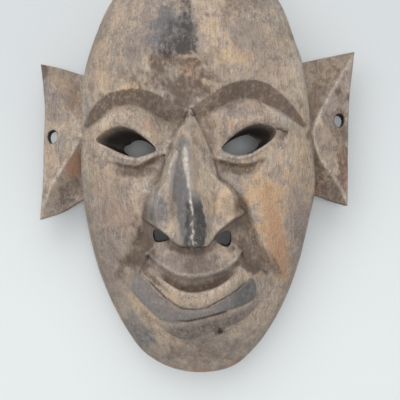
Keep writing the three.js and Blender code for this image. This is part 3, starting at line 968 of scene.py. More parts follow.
def face_features() -> dict[str, Feature]:
    """Return the carved features of the face, by name."""
    lid = ((3, 5.5, 6.5, 7, 7, 6.5, 4), (0, 2.4, 2.6, 2.6, 2.6, 2.4, 0), 1.3)
    return {
        "muzzle": Mound(-2.9, -77, 50, 36, 10, 1.7),
        "left_fold": Fold(Line(((-31, -27), (-33.5, -38), (-37.5, -50), (-42.5, -61), (-47.5, -70.5),
            (-51, -79))), 1, 3.6, (-1.6, 4.6)),
        "right_fold": Fold(Line(((26, -18), (29.5, -28), (32.5, -38), (37, -49), (42.5, -60), (48, -70.5),
            (53.5, -82.5))), -1, 4.6, (-0.9, 3.8)),
        "left_brow": Ledge(Line(((-68.6, 16.5), (-64, 22), (-53, 31.7), (-45, 34), (-37.5, 34.5),
            (-31, 33.3), (-25.5, 30.8), (-20.5, 27.7), (-14.5, 24.4), (-7, 24))),
            (1.4, 3.1, 4, 4.1, 4.2, 4.5, 5, 5.3, 4.6, 2.2), (0.8, 3, 4.4, 5, 5, 5.2, 5.8, 6.6, 7, 5.5),
            (2.4, 2.4, 2.6, 3.6, 6.5)),
        "right_brow": Ledge(Line(((-3, 25.2), (3, 28.2), (10.9, 32.7), (19.5, 37), (29.8, 39), (37.5, 37.6),
            (44.5, 33.7), (50.5, 29.4), (56, 25), (61, 20.8), (65, 18))),
            (2.2, 3.8, 4.4, 4.6, 4.9, 5, 5, 4.5, 3.6, 2.5, 1.1),
            (5.5, 7, 6.4, 5.6, 5.2, 5, 4.8, 4.2, 3.2, 2, 0.8), (6.5, 3.6, 2.6, 2.4, 2.4)),
        "left_orbit": Mound(-19.5, 11.5, 8.5, 15, -4.2, 1.3, 0.25),
        "right_orbit": Mound(9.5, 10.5, 8, 15, -4.2, 1.3, -0.3),
        "left_lid": Swell(Line(((-60.5, 14.5), (-55, 19), (-47.5, 21.5), (-40.5, 21), (-33.5, 17.5),
            (-26.5, 12.5), (-21, 7))), *lid),
        "right_lid": Swell(Line(((8, 8), (13.5, 13), (20, 19), (28, 22.5), (37, 24), (45.5, 22.5),
            (54.5, 17.5))), *lid),
        "left_groove": Ledge(Line(((-52, -2.6), (-46.5, -3.8), (-41.5, -5.2), (-35.3, -5.6), (-30, -3.8),
            (-25, -1), (-20, 0.8))), (0.8, 1, 1.1, 1.1, 1.1, 1), (0.4, 2.6, 3.6, 3.9, 3.8, 3.2),
            (3, 3.4, 3.8, 3.4)),
        "right_groove": Ledge(Line(((9, -1.4), (13, -2.4), (18.6, -4), (23, -4.7), (27.5, -4.7),
            (32.5, -3.8), (38.5, -1.2))), (1, 1.1, 1.1, 1.1, 1, 0.8), (3.2, 3.8, 3.9, 3.6, 2.6, 0.4),
            (3.4, 3.8, 3.4, 3)),
        "left_rim": Swell(Line(((-55, 4.5), (-46, 0.3), (-36, -1.6), (-28.5, -0.6), (-22, 2.4))),
            (1.3, 1.7, 1.8, 1.7, 1.3), (0, 1.1, 1.3, 1.1, 0.3)),
        "right_rim": Swell(Line(((10.5, 3.2), (16, 0.8), (23, -0.6), (30, 0.8), (37, 4.8), (44, 9.8))),
            (1.3, 1.7, 1.8, 1.7, 1.5, 1.3), (0.3, 1.1, 1.3, 1.3, 1, 0)),
        "upper_lip": Swell(Line(((-41.5, -67.5), (-34.5, -65.8), (-26, -69.5), (-19, -76.3), (-10, -81.3),
            (-0.5, -83.2), (9.5, -80.2), (20.5, -74.3), (30, -69), (37, -68.2))),
            (3, 4.4, 5, 5.2, 5.4, 5.2, 4.8, 4, 2.6), (0, 1.4, 2.7, 3, 3, 2.9, 2.6, 1.5, 0), 0.5),
        "mouth_band": Plate(Line(((-31, -68.8), (-26, -73.9), (-19.8, -80), (-15.8, -83.5), (-10.1, -86.9),
            (-4.5, -88), (1.2, -87.8), (5.2, -86.9), (9.7, -84.4), (19.9, -79), (27.3, -72.7), (30.5, -70),
            (33.5, -73.1), (34.1, -78.8), (32, -83.2), (23.9, -86.7), (13.7, -89.5), (4, -92.7),
            (-7.3, -95.2), (-17, -96), (-24.3, -92.6), (-30, -87.6), (-39.6, -77.1), (-43.6, -72.5),
            (-40.5, -68.6), (-35.1, -67.2)), True), -3, 2.3, 0, (-0.9, 1.8)),
        "lower_lip": Plate(Line(((-28, -93.5), (-22, -99.5), (-16, -104.5), (-10.5, -107.3), (-3.5, -107.6),
            (4, -104.8), (13, -101), (22, -98), (30, -93), (36, -85.5), (33, -84), (24, -88.5), (14, -91.3),
            (4, -94.4), (-7, -97), (-17, -97.6), (-24.5, -94)), True), -3, 1.8, 0, (-0.8, 2.4)),
        "recess": Ledge(Line(((25, -63), (15.4, -71.3), (8, -75), (-1.6, -77), (-9, -76.2), (-14.7, -73.2),
            (-21.5, -69.2), (-28, -65.5))), (0.9, 0.9), (0.6, 3, 4.2, 4.6, 4.2, 2.2, 1, 0.4),
            (2.5, 5.5, 6.5, 5, 3)),
        "plate": Plate(Line(((-31, -56), (-27.5, -51.5), (-23, -47.5), (-13, -45), (4, -45), (12.5, -46.5),
            (20.5, -48), (26, -54), (23, -59.5), (16, -65), (8, -68), (-1.5, -69.5), (-11, -68.5),
            (-18.5, -65), (-25.5, -60)), True)),
        "lip_crack": Cut(Line(((-32, -67.5), (-26, -73.5), (-19.8, -79.6), (-15.8, -83.1), (-10.1, -86.5),
            (-4.5, -87.6), (1.2, -87.4), (5.2, -86.5), (9.7, -84), (19.9, -78.6), (27.3, -72.3),
            (31, -69))), 1, 0.6),
        "slit": Cut(Line(((-14, -94.4), (-7.3, -95.2), (-1.6, -94.1), (4, -92.7), (9.7, -91.2),
            (18.5, -88.8))), 2.2, 0.7),
        "eye_notch": Cut(Line(((43.5, 15.4), (47.2, 16.2), (49.5, 14.8), (53, 14.2))), 1.5, 0.7),
        "left_fissure": Cut(Line(((-28, -55), (-30, -61), (-34, -62.8), (-39.5, -62.6))), 0.8, 1.1),
        "right_fissure": Cut(Line(((24.5, -54), (28, -60), (32.5, -64.3), (38, -66.2), (43, -70))), 1, 1.1),
        "temple_crack": Cut(Line(((52.4, 14.4), (49.8, 12.2), (49.4, 8.6))), 0.8, 0.5),
        "gouge": Mound(13.2, -102.2, 1.4, 2.3, -2.6, 1, 0.4),
        "gouge_start": Mound(11.6, -99.4, 1.5, 1, -1.6, 1, -0.5),
        "recess_chip": Mound(-9.5, -76, 1.6, 1.1, -1.6, 1, 0.3),
        "right_ear_pit": Mound(66.2, 13.5, 2.8, 4.5, -4, 1.2, -0.3),
        "chin_facet": Mound(-30, -109, 10, 9, -1.2, 1, 0.5),
    }


def carved_nose() -> Nose:
    """Return the nose."""
    foot = Line(((-4.2, 27), (-8.5, 21), (-11.9, 16.7), (-14.8, 10.4), (-16.8, 3.6), (-18.8, -2.1),
        (-20.7, -7.8), (-23, -13.2), (-26.8, -18), (-29, -25), (-30.7, -31.5), (-31.5, -37), (-32, -60),
        (29, -60), (28, -33), (25.6, -28.5), (22.8, -22), (18.5, -16.4), (12.6, -12.5), (10.9, -7.8),
        (9.2, -2.1), (7.5, 3.6), (5.2, 9.3), (2.3, 15.5), (-0.8, 22)), True)
    end = Line(((-34, -33), (-30, -37), (-25.5, -40.5), (-19, -45), (-13, -49.5), (-8.5, -51.5), (4, -51.5),
        (8, -48.5), (13, -43), (20, -37.5), (27.5, -33), (32, -29.5)))
    left = Wing(Line(((-24, -18.5), (-19.5, -24.5), (-16.5, -32), (-14.5, -41.5), (-12.5, -48.5))),
        (70, 77, 83, 88, 90), -1, 0.62, 0.2)
    right = Wing(Line(((13, -13), (19.5, -17.5), (23.3, -25), (25, -30.5), (26, -36))),
        (72, 74, 75, 75, 75), 1, 1, -0.3)
    return Nose(foot, end, Profile((-56, -46.5, -25, -8, 0, 23.5), (-2.5, -3, -3.5, -5.5, -6, -4.5)),
        Profile((-62, -52, -30, -5, 15, 27, 36), (104, 102, 95, 86, 78, 71.5, 62)), (left, right))


def eyes_and_nostrils() -> tuple[Opening, ...]:
    """Return the four openings: the front and back of each eye, then the nostrils."""
    eyes = (
        (((-60, 10), (-55.5, 14), (-50, 16.5), (-44, 17.5), (-37.5, 15.5), (-31.5, 11.5), (-25, 6),
         (-24.5, 3), (-29.5, 1), (-36, -0.5), (-44.5, 2), (-53, 6)), ((-44.5, 5.5), (-40, 8.3),
         (-32.5, 8.8), (-25.5, 5), (-31, 0.5), (-39, 0.5))),
        (((13.5, 5), (17.5, 9.5), (23.5, 14.5), (30, 18), (37, 19), (44.2, 16.6), (43.8, 11), (36.6, 5.4),
         (30, 1.8), (23, 0.6), (16.5, 2.3)), ((13.5, 4.5), (20, 8.8), (28.5, 10.8), (34.5, 8), (31, 3.4),
         (23, 1))),
    )
    nostrils = (
        ((-25.5, -42.2), (-21.5, -42.6), (-16.3, -46.5), (-19.5, -48.6), (-24, -49), (-26, -46)),
        ((13.5, -43.5), (17, -42.5), (19, -44), (19, -49), (17, -51.5), (13, -50.5), (10.5, -47.5)),
    )
    return (*(Opening(Line(front, True), Line(back, True), 46) for front, back in eyes),
            *(Opening(Line(rim, True), Line(rim, True), 30, 0.4, 40, 2) for rim in nostrils))


def carved_head() -> Head:
    """Return the head with its measurements."""
    stations = (-140, -118, -95, -70, -40, -5, 30, 60, 90, 115, 140)
    outline = Line(((-2, 134), (-29.5, 124.5), (-51.5, 97.5), (-63, 72.5), (-69.5, 48.5), (-71, 18),
        (-71, -12.5), (-67.5, -40), (-62, -65), (-54, -86.5), (-44, -106), (-33, -120.5), (-16.5, -130),
        (2.5, -133), (21.5, -129), (35, -117.5), (44.5, -104.5), (53.5, -87.5), (61.5, -65.5),
        (67.5, -38.5), (71.5, -15.5), (69, 18), (64.5, 53), (58.5, 72.5), (48.5, 97.5), (26, 124.5)), True)
    return Head(
        outline,
        Profile(stations, (54, 60, 64, 66, 67, 69, 71, 74, 73, 70, 66)),
        Profile(stations, (9, 12, 16, 20, 26, 29, 30, 30, 29, 25, 22)),
        Profile((-130, -95, -60, 40, 130), (4, 3.2, 2.8, 3, 2.6)),
        Profile((-130, -60, 40, 130), (1.9, 1.85, 2, 2)),
        face_features(), carved_nose(), eyes_and_nostrils(),
    )


def left_ear() -> Ear:
    """Return the ear on the left of the picture."""
    return Ear(
        -1,
        ((-58, -23.5), (-70.5, -25), (-83.5, -32.5), (-96.5, -37)),
        ((-96.5, -37), (-94.5, -14), (-94, 10), (-93.3, 30), (-94.4, 45), (-96, 58)),
        ((-58, 49.5), (-71, 52), (-83.5, 55.5), (-96, 58)),
        ((-58, -23.5), (-57, 14), (-58, 49.5)),
        Ridge(Line(((-69, 14), (-75.5, 26), (-82.5, 37), (-90, 48.5), (-96, 58))), (-71.5, 34)),
        Ridge(Line(((-69, 14), (-79.5, -2), (-89, -17.5), (-93, -27), (-96.5, -37))), (-71.5, -3)),
        (-69, 14, 40), (-88.5, 13.5), (0.32, 0.28), (0.1, 1),
    )


def right_ear() -> Ear:
    """Return the ear on the right of the picture."""
    return Ear(
        1,
        ((58, -20.5), (71, -22), (81, -25.5), (91, -28.5)),
        ((91, -28.5), (91.2, -14), (91.2, 0), (91.6, 20), (92.4, 39), (94, 53), (95.5, 65.5)),
        ((55, 55.5), (64, 59.5), (81, 63), (95.5, 65.5)),
        ((58, -20.5), (57, 15), (55, 55.5)),
        Ridge(Line(((68, 15), (72, 24.5), (76.5, 33.5), (86, 50), (95.5, 65.5))), (70, 37)),
        Ridge(Line(((68, 15), (74, -0.5), (83.5, -13.5), (87.5, -20.5), (91, -28.5))), (73.5, -3)),
        (68, 15, 38), (86, 23.5), (0.42, 0.6), (1, 1),
    )


# Each row is x, y, across, along, strength, turn, border and ragged of one Patch.
PATCHES = {
    # Some UMBER rows are painted shade: under the right brow (19, 29.5), at the right groove's end (36,
    # -3.4), beside the top of the nose (6, 21), the under-eye hollows (-36, -8) and (23, -7.4), beside the
    # nose wings and nostrils (-32, -50), (-34, -59.5), (26, -53), (20, -50), under the nose tip (-4, -52)
    # and in the right fold (29, -60).
    Kind.UMBER: (
        (-13, 54, 9, 5, 0.36, 0, 0.8, 0.8), (2, 54, 7, 5, 0.3, 0, 0.8, 0.8),
        (-14, 54, 15, 5, 0.5, -0.2, 0.7, 0.8), (4, 57, 8, 5, 0.34, 0, 0.7, 0.8),
        (6, 45.5, 9, 4.5, 0.55, 0, 0.5, 0.8), (22, 87, 14, 9, 0.28, 0, 0.8, 0.9),
        (-4, 49, 7, 5, 0.2, 0.2, 0.7, 0.7), (-22, 43, 18, 7, 0.46, -0.1, 0.8, 0.9),
        (3, 40, 15, 6, 0.46, 0, 0.8, 0.9), (-9, 33, 10, 7, 0.66, 0, 0.7, 0.7),
        (-37, 60, 9, 24, 0.22, 0, 0.5, 0.9), (30, 66, 16, 30, 0.24, 0.1, 0.5, 0.9),
        (19, 29.5, 12, 2.6, 0.45, 0.35, 0.6, 0.6), (36, -3.4, 6, 2.6, 0.5, 0.4, 0.6, 0.6),
        (30, 12, 13, 2.2, 0.2, 0.2, 0.7, 0.8), (49, 14, 6, 4.5, 0.5, 0, 0.6, 0.9),
        (6, 21, 3.4, 6, 0.5, 0.4, 0.5, 0.5), (-36, -8, 13, 3.6, 0.7, 0, 0.5, 0.3),
        (23, -7.4, 13, 3.2, 0.7, 0, 0.5, 0.3), (-48, -50, 12, 18, 0.2, 0.1, 0.5, 0.9),
        (43.5, -62, 3.2, 11, 0.6, 0.5, 0.6, 0.4), (26, -53, 5, 10, 0.6, -0.3, 0.5, 0.6),
        (-3, 20, 4, 6, 0.4, 0, 0.6, 0.6), (4, -63, 18, 6, 0.4, 0, 0.4, 0.8),
        (-32, -50, 6, 13, 0.8, 0.1, 0.9, 0.5), (-34, -59.5, 9, 4, 0.66, 0.15, 0.9, 0.5),
        (-24, -71.5, 9, 1.8, 0.6, -0.59, 0.6, 0.6), (20, -50, 4, 7, 0.45, -0.1, 0.6, 0.6),
        (-4, -52, 12, 2.2, 0.6, 0, 0.6, 0.6), (29, -60, 10, 4.5, 0.9, -0.9, 0.5, 0.6),
        (44, -74, 7, 2.4, 0.45, -0.95, 0.8, 0.6), (-44, -92, 5, 14, 0.3, 0.5, 0.7, 0.7),
        (6, -113, 30, 12, 0.22, 0.1, 0.8, 0.9), (-45, -66, 3, 8, 0.4, -0.5, 0.8, 0.6),
        (2, -118, 26, 9, 0.24, 0, 0.5, 0.9), (12.4, -100.6, 3.6, 2.6, 0.6, 0.3, 0.5, 0.9),
        (-76, 46, 8, 10, 0.4, 0, 0.5, 0.8), (-75, 30, 4.5, 11, 0.36, 0.3, 0.6, 0.7),
        (-77, -19, 12, 9, 0.55, 0.4, 0.6, 0.6), (-94, 55, 4, 5, 0.7, 0, 0.5, 0.6),
        (76, 49, 10, 13, 0.5, 0.3, 0.5, 0.7), (80, 11, 13, 20, 0.34, 0, 0.5, 0.8),
        (88, 8, 5, 34, 0.46, 0, 0.6, 0.7), (85, -12, 6, 7, 0.4, 0.3, 0.7, 0.7),
    ),
    Kind.CHAR: (
        (-13, 68, 8, 11, 0.5, 0.1, 0.7, 0.6), (-5.5, 63.5, 5.5, 8, 0.66, 0, 0.7, 0.6),
        (-12, 60.5, 7, 4, 0.6, -0.1, 0.8, 0.7), (-7, 88, 3.2, 11, 0.54, -0.1, 0.6, 0.5),
        (-22, -30, 4, 6, 0.25, 0.2, 0.7, 0.5), (13.2, -102, 1.2, 2, 0.8, 0.4, 0.5, 0.7),
    ),
    Kind.SLATE: (
        (-14, 71, 13, 14, 0.85, 0.1, 0.55, 0.55), (-22.5, -30, 7, 11, 0.8, 0.2, 0.6, 0.5),
        (-34, -106, 7, 15, 0.66, 0.68, 0.6, 0.5), (-94, 46, 3.4, 18, 0.5, 0, 0.5, 0.6),
        (-84, -28, 11, 6, 0.5, 0.4, 0.5, 0.5),
    ),
    Kind.PLUM: (
        (-23, 59, 7, 7, 0.55, 0, 0.6, 0.7), (-27, 76, 8, 14, 0.55, 0, 0.5, 0.7),
        (-12, 40, 18, 9, 0.4, 0, 0.8, 0.9), (34, 62, 14, 28, 0.3, 0.1, 0.5, 0.9),
        (27, 27, 10, 5, 0.6, 0.1, 0.5, 0.7), (-52, -26, 14, 20, 0.38, 0.1, 0.5, 0.9),
        (-50, -68, 12, 16, 0.42, 0.3, 0.5, 0.7), (60, -38, 7, 24, 0.5, 0.12, 0.6, 0.7),
        (-4, -62, 22, 8, 0.65, 0, 0.4, 0.6), (8, -113, 28, 12, 0.42, 0.2, 0.6, 0.8),
        (-87, 30, 5, 13, 0.45, 0.1, 0.5, 0.7), (83, 38, 7, 20, 0.5, -0.4, 0.5, 0.7),
        (82, -20, 7, 5, 0.7, -0.5, 0.5, 0.5),
    ),
    Kind.OCHRE: (
        (7, 74, 11, 11, 0.34, 0, 0.6, 0.8), (14, 57, 13, 7, 0.55, 0.2, 0.7, 0.8),
        (-24, 55, 7, 2.2, 0.85, -0.15, 0.4, 0.6), (27, 55, 6, 3, 0.5, 0.1, 0.4, 0.8),
        (-39, 39.5, 8, 3, 0.7, 0.2, 0.35, 0.7), (-56, 56, 5, 26, 0.35, -0.15, 0.5, 0.8),
        (57, 56, 5, 26, 0.35, 0.15, 0.5, 0.8), (30, 29, 9, 3, 0.5, 0, 0.4, 0.8),
        # The row at (-54, 18) is painted light on the left lid.
        (-54, 18, 8, 4.5, 0.5, 0.6, 0.5, 0.6), (-54, -14, 10, 14, 0.42, 0.1, 0.5, 0.9),
        (38, -20, 14, 19, 0.5, 0.2, 0.6, 0.7), (44, -43, 9, 25, 0.6, 0.24, 0.6, 0.5),
        (62, -4, 8, 28, 0.4, 0.05, 0.6, 0.7), (5, -14, 5, 18, 0.42, 0.1, 0.5, 0.7),
        (18, -29, 8, 9, 0.5, 0, 0.5, 0.7), (-29, -93, 3.6, 20, 0.5, 0.76, 0.7, 0.6),
        (-82, 47, 6, 10, 0.3, 0.4, 0.7, 0.8), (-88, -4, 6, 16, 0.3, 0.2, 0.5, 0.8),
    ),
    Kind.RUST: (
        (-5, 51, 6, 10, 0.55, 0.5, 0.9, 0.8), (-28, 17, 9, 5, 0.34, -0.5, 0.8, 0.8),
        (18, 18, 6, 4, 0.34, 0.5, 0.8, 0.8), (-47, -38, 12, 12, 0.3, 0.1, 0.5, 0.9),
        (40, -26, 11, 18, 0.3, 0.2, 0.8, 0.7), (46.5, -51, 6.5, 24, 0.62, 0.24, 0.8, 0.5),
        (-14, -127, 5, 2, 0.7, -0.3, 0.4, 0.8), (2, -130, 6, 1.8, 0.8, 0, 0.4, 0.8),
        (21, -126, 6, 2, 0.7, 0.3, 0.4, 0.8), (-74, 34, 6, 13, 0.36, 0.2, 0.7, 0.7),
        (-74.5, -3, 4.6, 9, 0.75, -0.45, 0.6, 0.5), (89, -4, 4, 18, 0.5, 0, 0.5, 0.8),
        (74, -18, 6, 4, 0.4, -0.5, 0.5, 0.6),
    ),
    # Some PALE rows are painted light: the right temple's edge (58, 54), the lit lower edge of the right
    # brow (50, 22), the lit left lid (-52, 20), the left shoulder of the head (-68, -10) and along the left
    # ear's seam (-70.5, 34).
    Kind.PALE: (
        (10, 66, 9, 8, 0.2, 0, 0.6, 0.8), (58, 54, 4.5, 18, 0.5, 0.1, 0.7, 0.7),
        (48, 86, 6, 8, 0.25, 0.3, 0.7, 0.7), (50, 22, 10, 2.6, 0.35, -0.6, 0.5, 0.6),
        (-18, 9, 4, 7, 0.35, 0, 0.6, 0.6), (-52, 20, 8, 4, 0.35, 0.6, 0.5, 0.6),
        (-68, -10, 3.6, 26, 0.35, 0.02, 0.5, 0.6), (-27, -22, 4, 8, 0.45, 0.2, 0.6, 0.6),
        (5, -8, 5, 15, 0.4, 0.1, 0.6, 0.6), (-16, -8, 4, 14, 0.3, -0.1, 0.6, 0.6),
        (-40, -91, 6, 10, 0.25, 0.5, 0.6, 0.7), (-70.5, 34, 4, 18, 0.5, 0, 0.7, 0.7),
    ),
}


class Value:
    """A number in a material. Arithmetic on it adds Math nodes."""

    def __init__(self, tree: "Tree", socket: bpy.types.NodeSocket) -> None:
        """Wrap an output socket of a tree."""
        self.tree = tree
        self.socket = socket

    def _math(self, operation: str, first: object, second: object) -> "Value":
        """Add one Math node on two values or numbers."""
        return self.tree.value("ShaderNodeMath", {"operation": operation}, {0: first, 1: second})

    def __add__(self, other: object) -> "Value":
        """Add."""
        return self._math("ADD", self, other)

    __radd__ = __add__

    def __sub__(self, other: object) -> "Value":
        """Subtract."""
        return self._math("SUBTRACT", self, other)

    def __rsub__(self, other: object) -> "Value":
        """Subtract this from a number."""
        return self._math("SUBTRACT", other, self)

    def __mul__(self, other: object) -> "Value":
        """Multiply."""
        return self._math("MULTIPLY", self, other)

    __rmul__ = __mul__

    def over(self, low: float, high: float) -> "Value":
        """Return 0 at low and 1 at high, blended smoothly between."""
        return self.tree.value("ShaderNodeMapRange", {"interpolation_type": "SMOOTHSTEP"},
                               {"Value": self, "From Min": low, "From Max": high})


class Tree:
    """The nodes of one material."""

    def __init__(self, name: str) -> None:
        """Make a material without nodes, and start from the place on the object."""
        self.material = bpy.data.materials.new(name)
        self.material.use_nodes = True
        self.nodes = self.material.node_tree.nodes
        self.links = self.material.node_tree.links
        self.nodes.clear()
        self.where = self.value("ShaderNodeTexCoord", {}, {}, "Object")

    def node(self, kind: str, settings: dict[str, object], inputs: dict[object, object]) -> bpy.types.Node:
        """Add a node.

        Args:
            kind: the node's type.
            settings: its properties, set before its sockets.
            inputs: values or links, by socket name, identifier or number.

        Returns:
            The node.
        """
        made = self.nodes.new(kind)
        for name, setting in settings.items():
            setattr(made, name, setting)
        for key, given in inputs.items():
            found = [s for s in made.inputs if s.identifier == key or (s.name == key and s.enabled)]
            socket = made.inputs[key] if isinstance(key, int) else found[0]
            if isinstance(given, Value):
                self.links.new(given.socket, socket)
            elif isinstance(given, bpy.types.NodeSocket):
                self.links.new(given, socket)
            else:
                socket.default_value = given
        return made

    def value(self, kind: str, settings: dict[str, object], inputs: dict[object, object],
              output: object = 0) -> Value:
        """Add a node and return one of its outputs as a value."""
        return Value(self, self.node(kind, settings, inputs).outputs[output])

    def noise(self, where: Value, scale: float, detail: float, roughness: float) -> Value:
        """Add a noise texture of a scale on given coordinates."""
        inputs = {"Vector": where, "Scale": scale, "Detail": detail, "Roughness": roughness}
        return self.value("ShaderNodeTexNoise", {}, inputs)

    def stretched(self, where: Value, by: tuple[float, float, float]) -> Value:
        """Multiply coordinates by three numbers."""
        return self.value("ShaderNodeVectorMath", {"operation": "MULTIPLY"}, {0: where, 1: by})

    def mixed(self, first: object, second: object, share: object) -> Value:
        """Mix two colours, the first at share 0 and the second at share 1."""
        inputs = {"Factor_Float": share, "A_Color": first, "B_Color": second}
        return self.value("ShaderNodeMix", {"data_type": "RGBA", "blend_type": "MIX"}, inputs, 2)

    def attribute(self, name: str) -> Value:
        """Read a number stored on the mesh's points."""
        return self.value("ShaderNodeAttribute", {"attribute_name": name}, {}, "Fac")

    def surface(self, inputs: dict[object, object]) -> bpy.types.Material:
        """Close the material with a surface of the given inputs, and return it."""
        shader = self.node("ShaderNodeBsdfPrincipled", {}, inputs)
        self.node("ShaderNodeOutputMaterial", {}, {"Surface": shader.outputs[0]})
        return self.material


def paint(red: int, green: int, blue: int) -> Colour:
    """Return a colour seen as three numbers to 255 as light, ((c + 0.055) / 1.055)^2.4 each."""
    return (*(((c / 255 + 0.055) / 1.055) ** 2.4 for c in (red, green, blue)), 1.0)


@dataclass(frozen=True)
class WornWood:
    """The finish of the mask: dry greyish wood under an old patina, with painted shade and highlights."""

    tan: Colour = paint(176, 158, 140)
    grey: Colour = paint(150, 138, 126)
    fibre: Colour = paint(118, 98, 80)
    umber: Colour = paint(92, 76, 64)
    char: Colour = paint(52, 48, 48)
    slate: Colour = paint(102, 103, 105)
    plum: Colour = paint(134, 120, 116)
    ochre: Colour = paint(202, 171, 134)
    rust: Colour = paint(172, 128, 97)
    pale: Colour = paint(206, 196, 182)
    painted_shade: Colour = paint(28, 23, 23)

    def material(self) -> bpy.types.Material:
        """Build the material.

        Grain is noise drawn out along the block, in three sizes. The stored numbers say where
        the patina, stains and bare patches are, and where shade is painted into recesses, creases
        and openings and pale wear with painted highlights onto edges and ridges.

        Returns:
            The material.
        """
        tree = Tree("carved_wood")
        sway = tree.value("ShaderNodeTexNoise", {}, {"Vector": tree.where, "Scale": 70.0}, "Color")
        bent = tree.value("ShaderNodeVectorMath", {"operation": "MULTIPLY_ADD"},
                          {0: sway, 1: (0.009, 0.009, 0.009), 2: tree.where})
        broad, cloudy, flaky, fine = (tree.noise(tree.where, *size) for size in (
            (34.0, 3.0, 0.55), (120.0, 4.0, 0.6), (340.0, 4.0, 0.7), (850.0, 3.0, 0.65)))
        streak, hair, drawn = (tree.noise(tree.stretched(bent, by), 1.0, *size) for by, size in (
            ((620.0, 80.0, 300.0), (4.0, 0.65)), ((1500.0, 120.0, 900.0), (3.0, 0.7)),
            ((240.0, 60.0, 160.0), (4.0, 0.6))))
        read = {kind: tree.attribute(kind.value) for kind in Kind}
        recess, edge, deep, gloss = (tree.attribute(name) for name in ("recess", "edge", "deep", "gloss"))
        calm = 1.0 - gloss * 0.6
        bare = calm * (1.0 - read[Kind.UMBER] * 0.8) * (1.0 - read[Kind.CHAR] * 0.8)
        broken = (drawn * 0.3 + flaky * 0.25 + cloudy * 0.45).over(0.4, 0.6)
        loose = (fine * 0.25 + flaky * 0.45 + streak * 0.3).over(0.4, 0.6)
        colour = self.tan
        for tint, share in (
                (self.grey, broad.over(0.38, 0.62)),
                (self.plum, (broken * 0.7 + loose * 0.3).over(0.5, 0.95) * 0.55),
                (self.ochre, (broken * 0.6 + loose * 0.4).over(0.45, 0.05) * 0.42),
                (self.umber, cloudy.over(0.52, 0.72) * 0.34),
                (self.fibre, streak.over(0.48, 0.74) * 0.42),
                (self.pale, streak.over(0.48, 0.28) * 0.26),
                *((tint, (read[kind] * (1.55 - torn)).over(0.12, 0.88) * most)
                  for kind, tint, most, torn in (
                      (Kind.OCHRE, self.ochre, 0.8, broken * 0.7),
                      (Kind.RUST, self.rust, 0.75, broken * 0.45),
                      (Kind.PLUM, self.plum, 0.85, broken * 0.9), (Kind.SLATE, self.slate, 0.9, loose),
                      (Kind.UMBER, self.umber, 0.9, loose * 0.95), (Kind.CHAR, self.char, 0.9, loose))),
                # Painted shade, with some grime, in the recesses.
                (self.umber, (recess * (1.3 - broken * 0.6)).over(0.0, 1.0) * 0.7),
                # Pale wear with a painted highlight on raised edges.
                (self.pale, (edge * (1.3 - loose)).over(0.0, 1.0) * 0.35),
                # Pale patches: bare wood, and in places painted light.
                (self.pale, (read[Kind.PALE] * (1.5 - loose)).over(0.0, 1.0) * 0.85),
                (self.umber, fine.over(0.5, 0.74) * calm * 0.42),
                (self.pale, fine.over(0.48, 0.26) * bare * 0.24),
                (self.umber, hair.over(0.5, 0.7) * calm * 0.44),
                (self.pale, hair.over(0.46, 0.3) * bare * 0.26),
                # Nearly black inside the openings and the hollow: painted shade.
                (self.painted_shade, deep * 0.96)):
            colour = tree.mixed(colour, tint, share)
        height = streak * 0.5 + hair * 0.5 + cloudy * 0.5 + flaky * 0.3 + fine * 0.2
        bump = tree.node("ShaderNodeBump", {}, {"Strength": 0.7, "Distance": 0.0009, "Height": height})
        return tree.surface({"Base Color": colour, "Roughness": 0.74 - gloss * 0.42 + hair * 0.1,
                             "Normal": bump.outputs[0], "Specular IOR Level": 0.42})


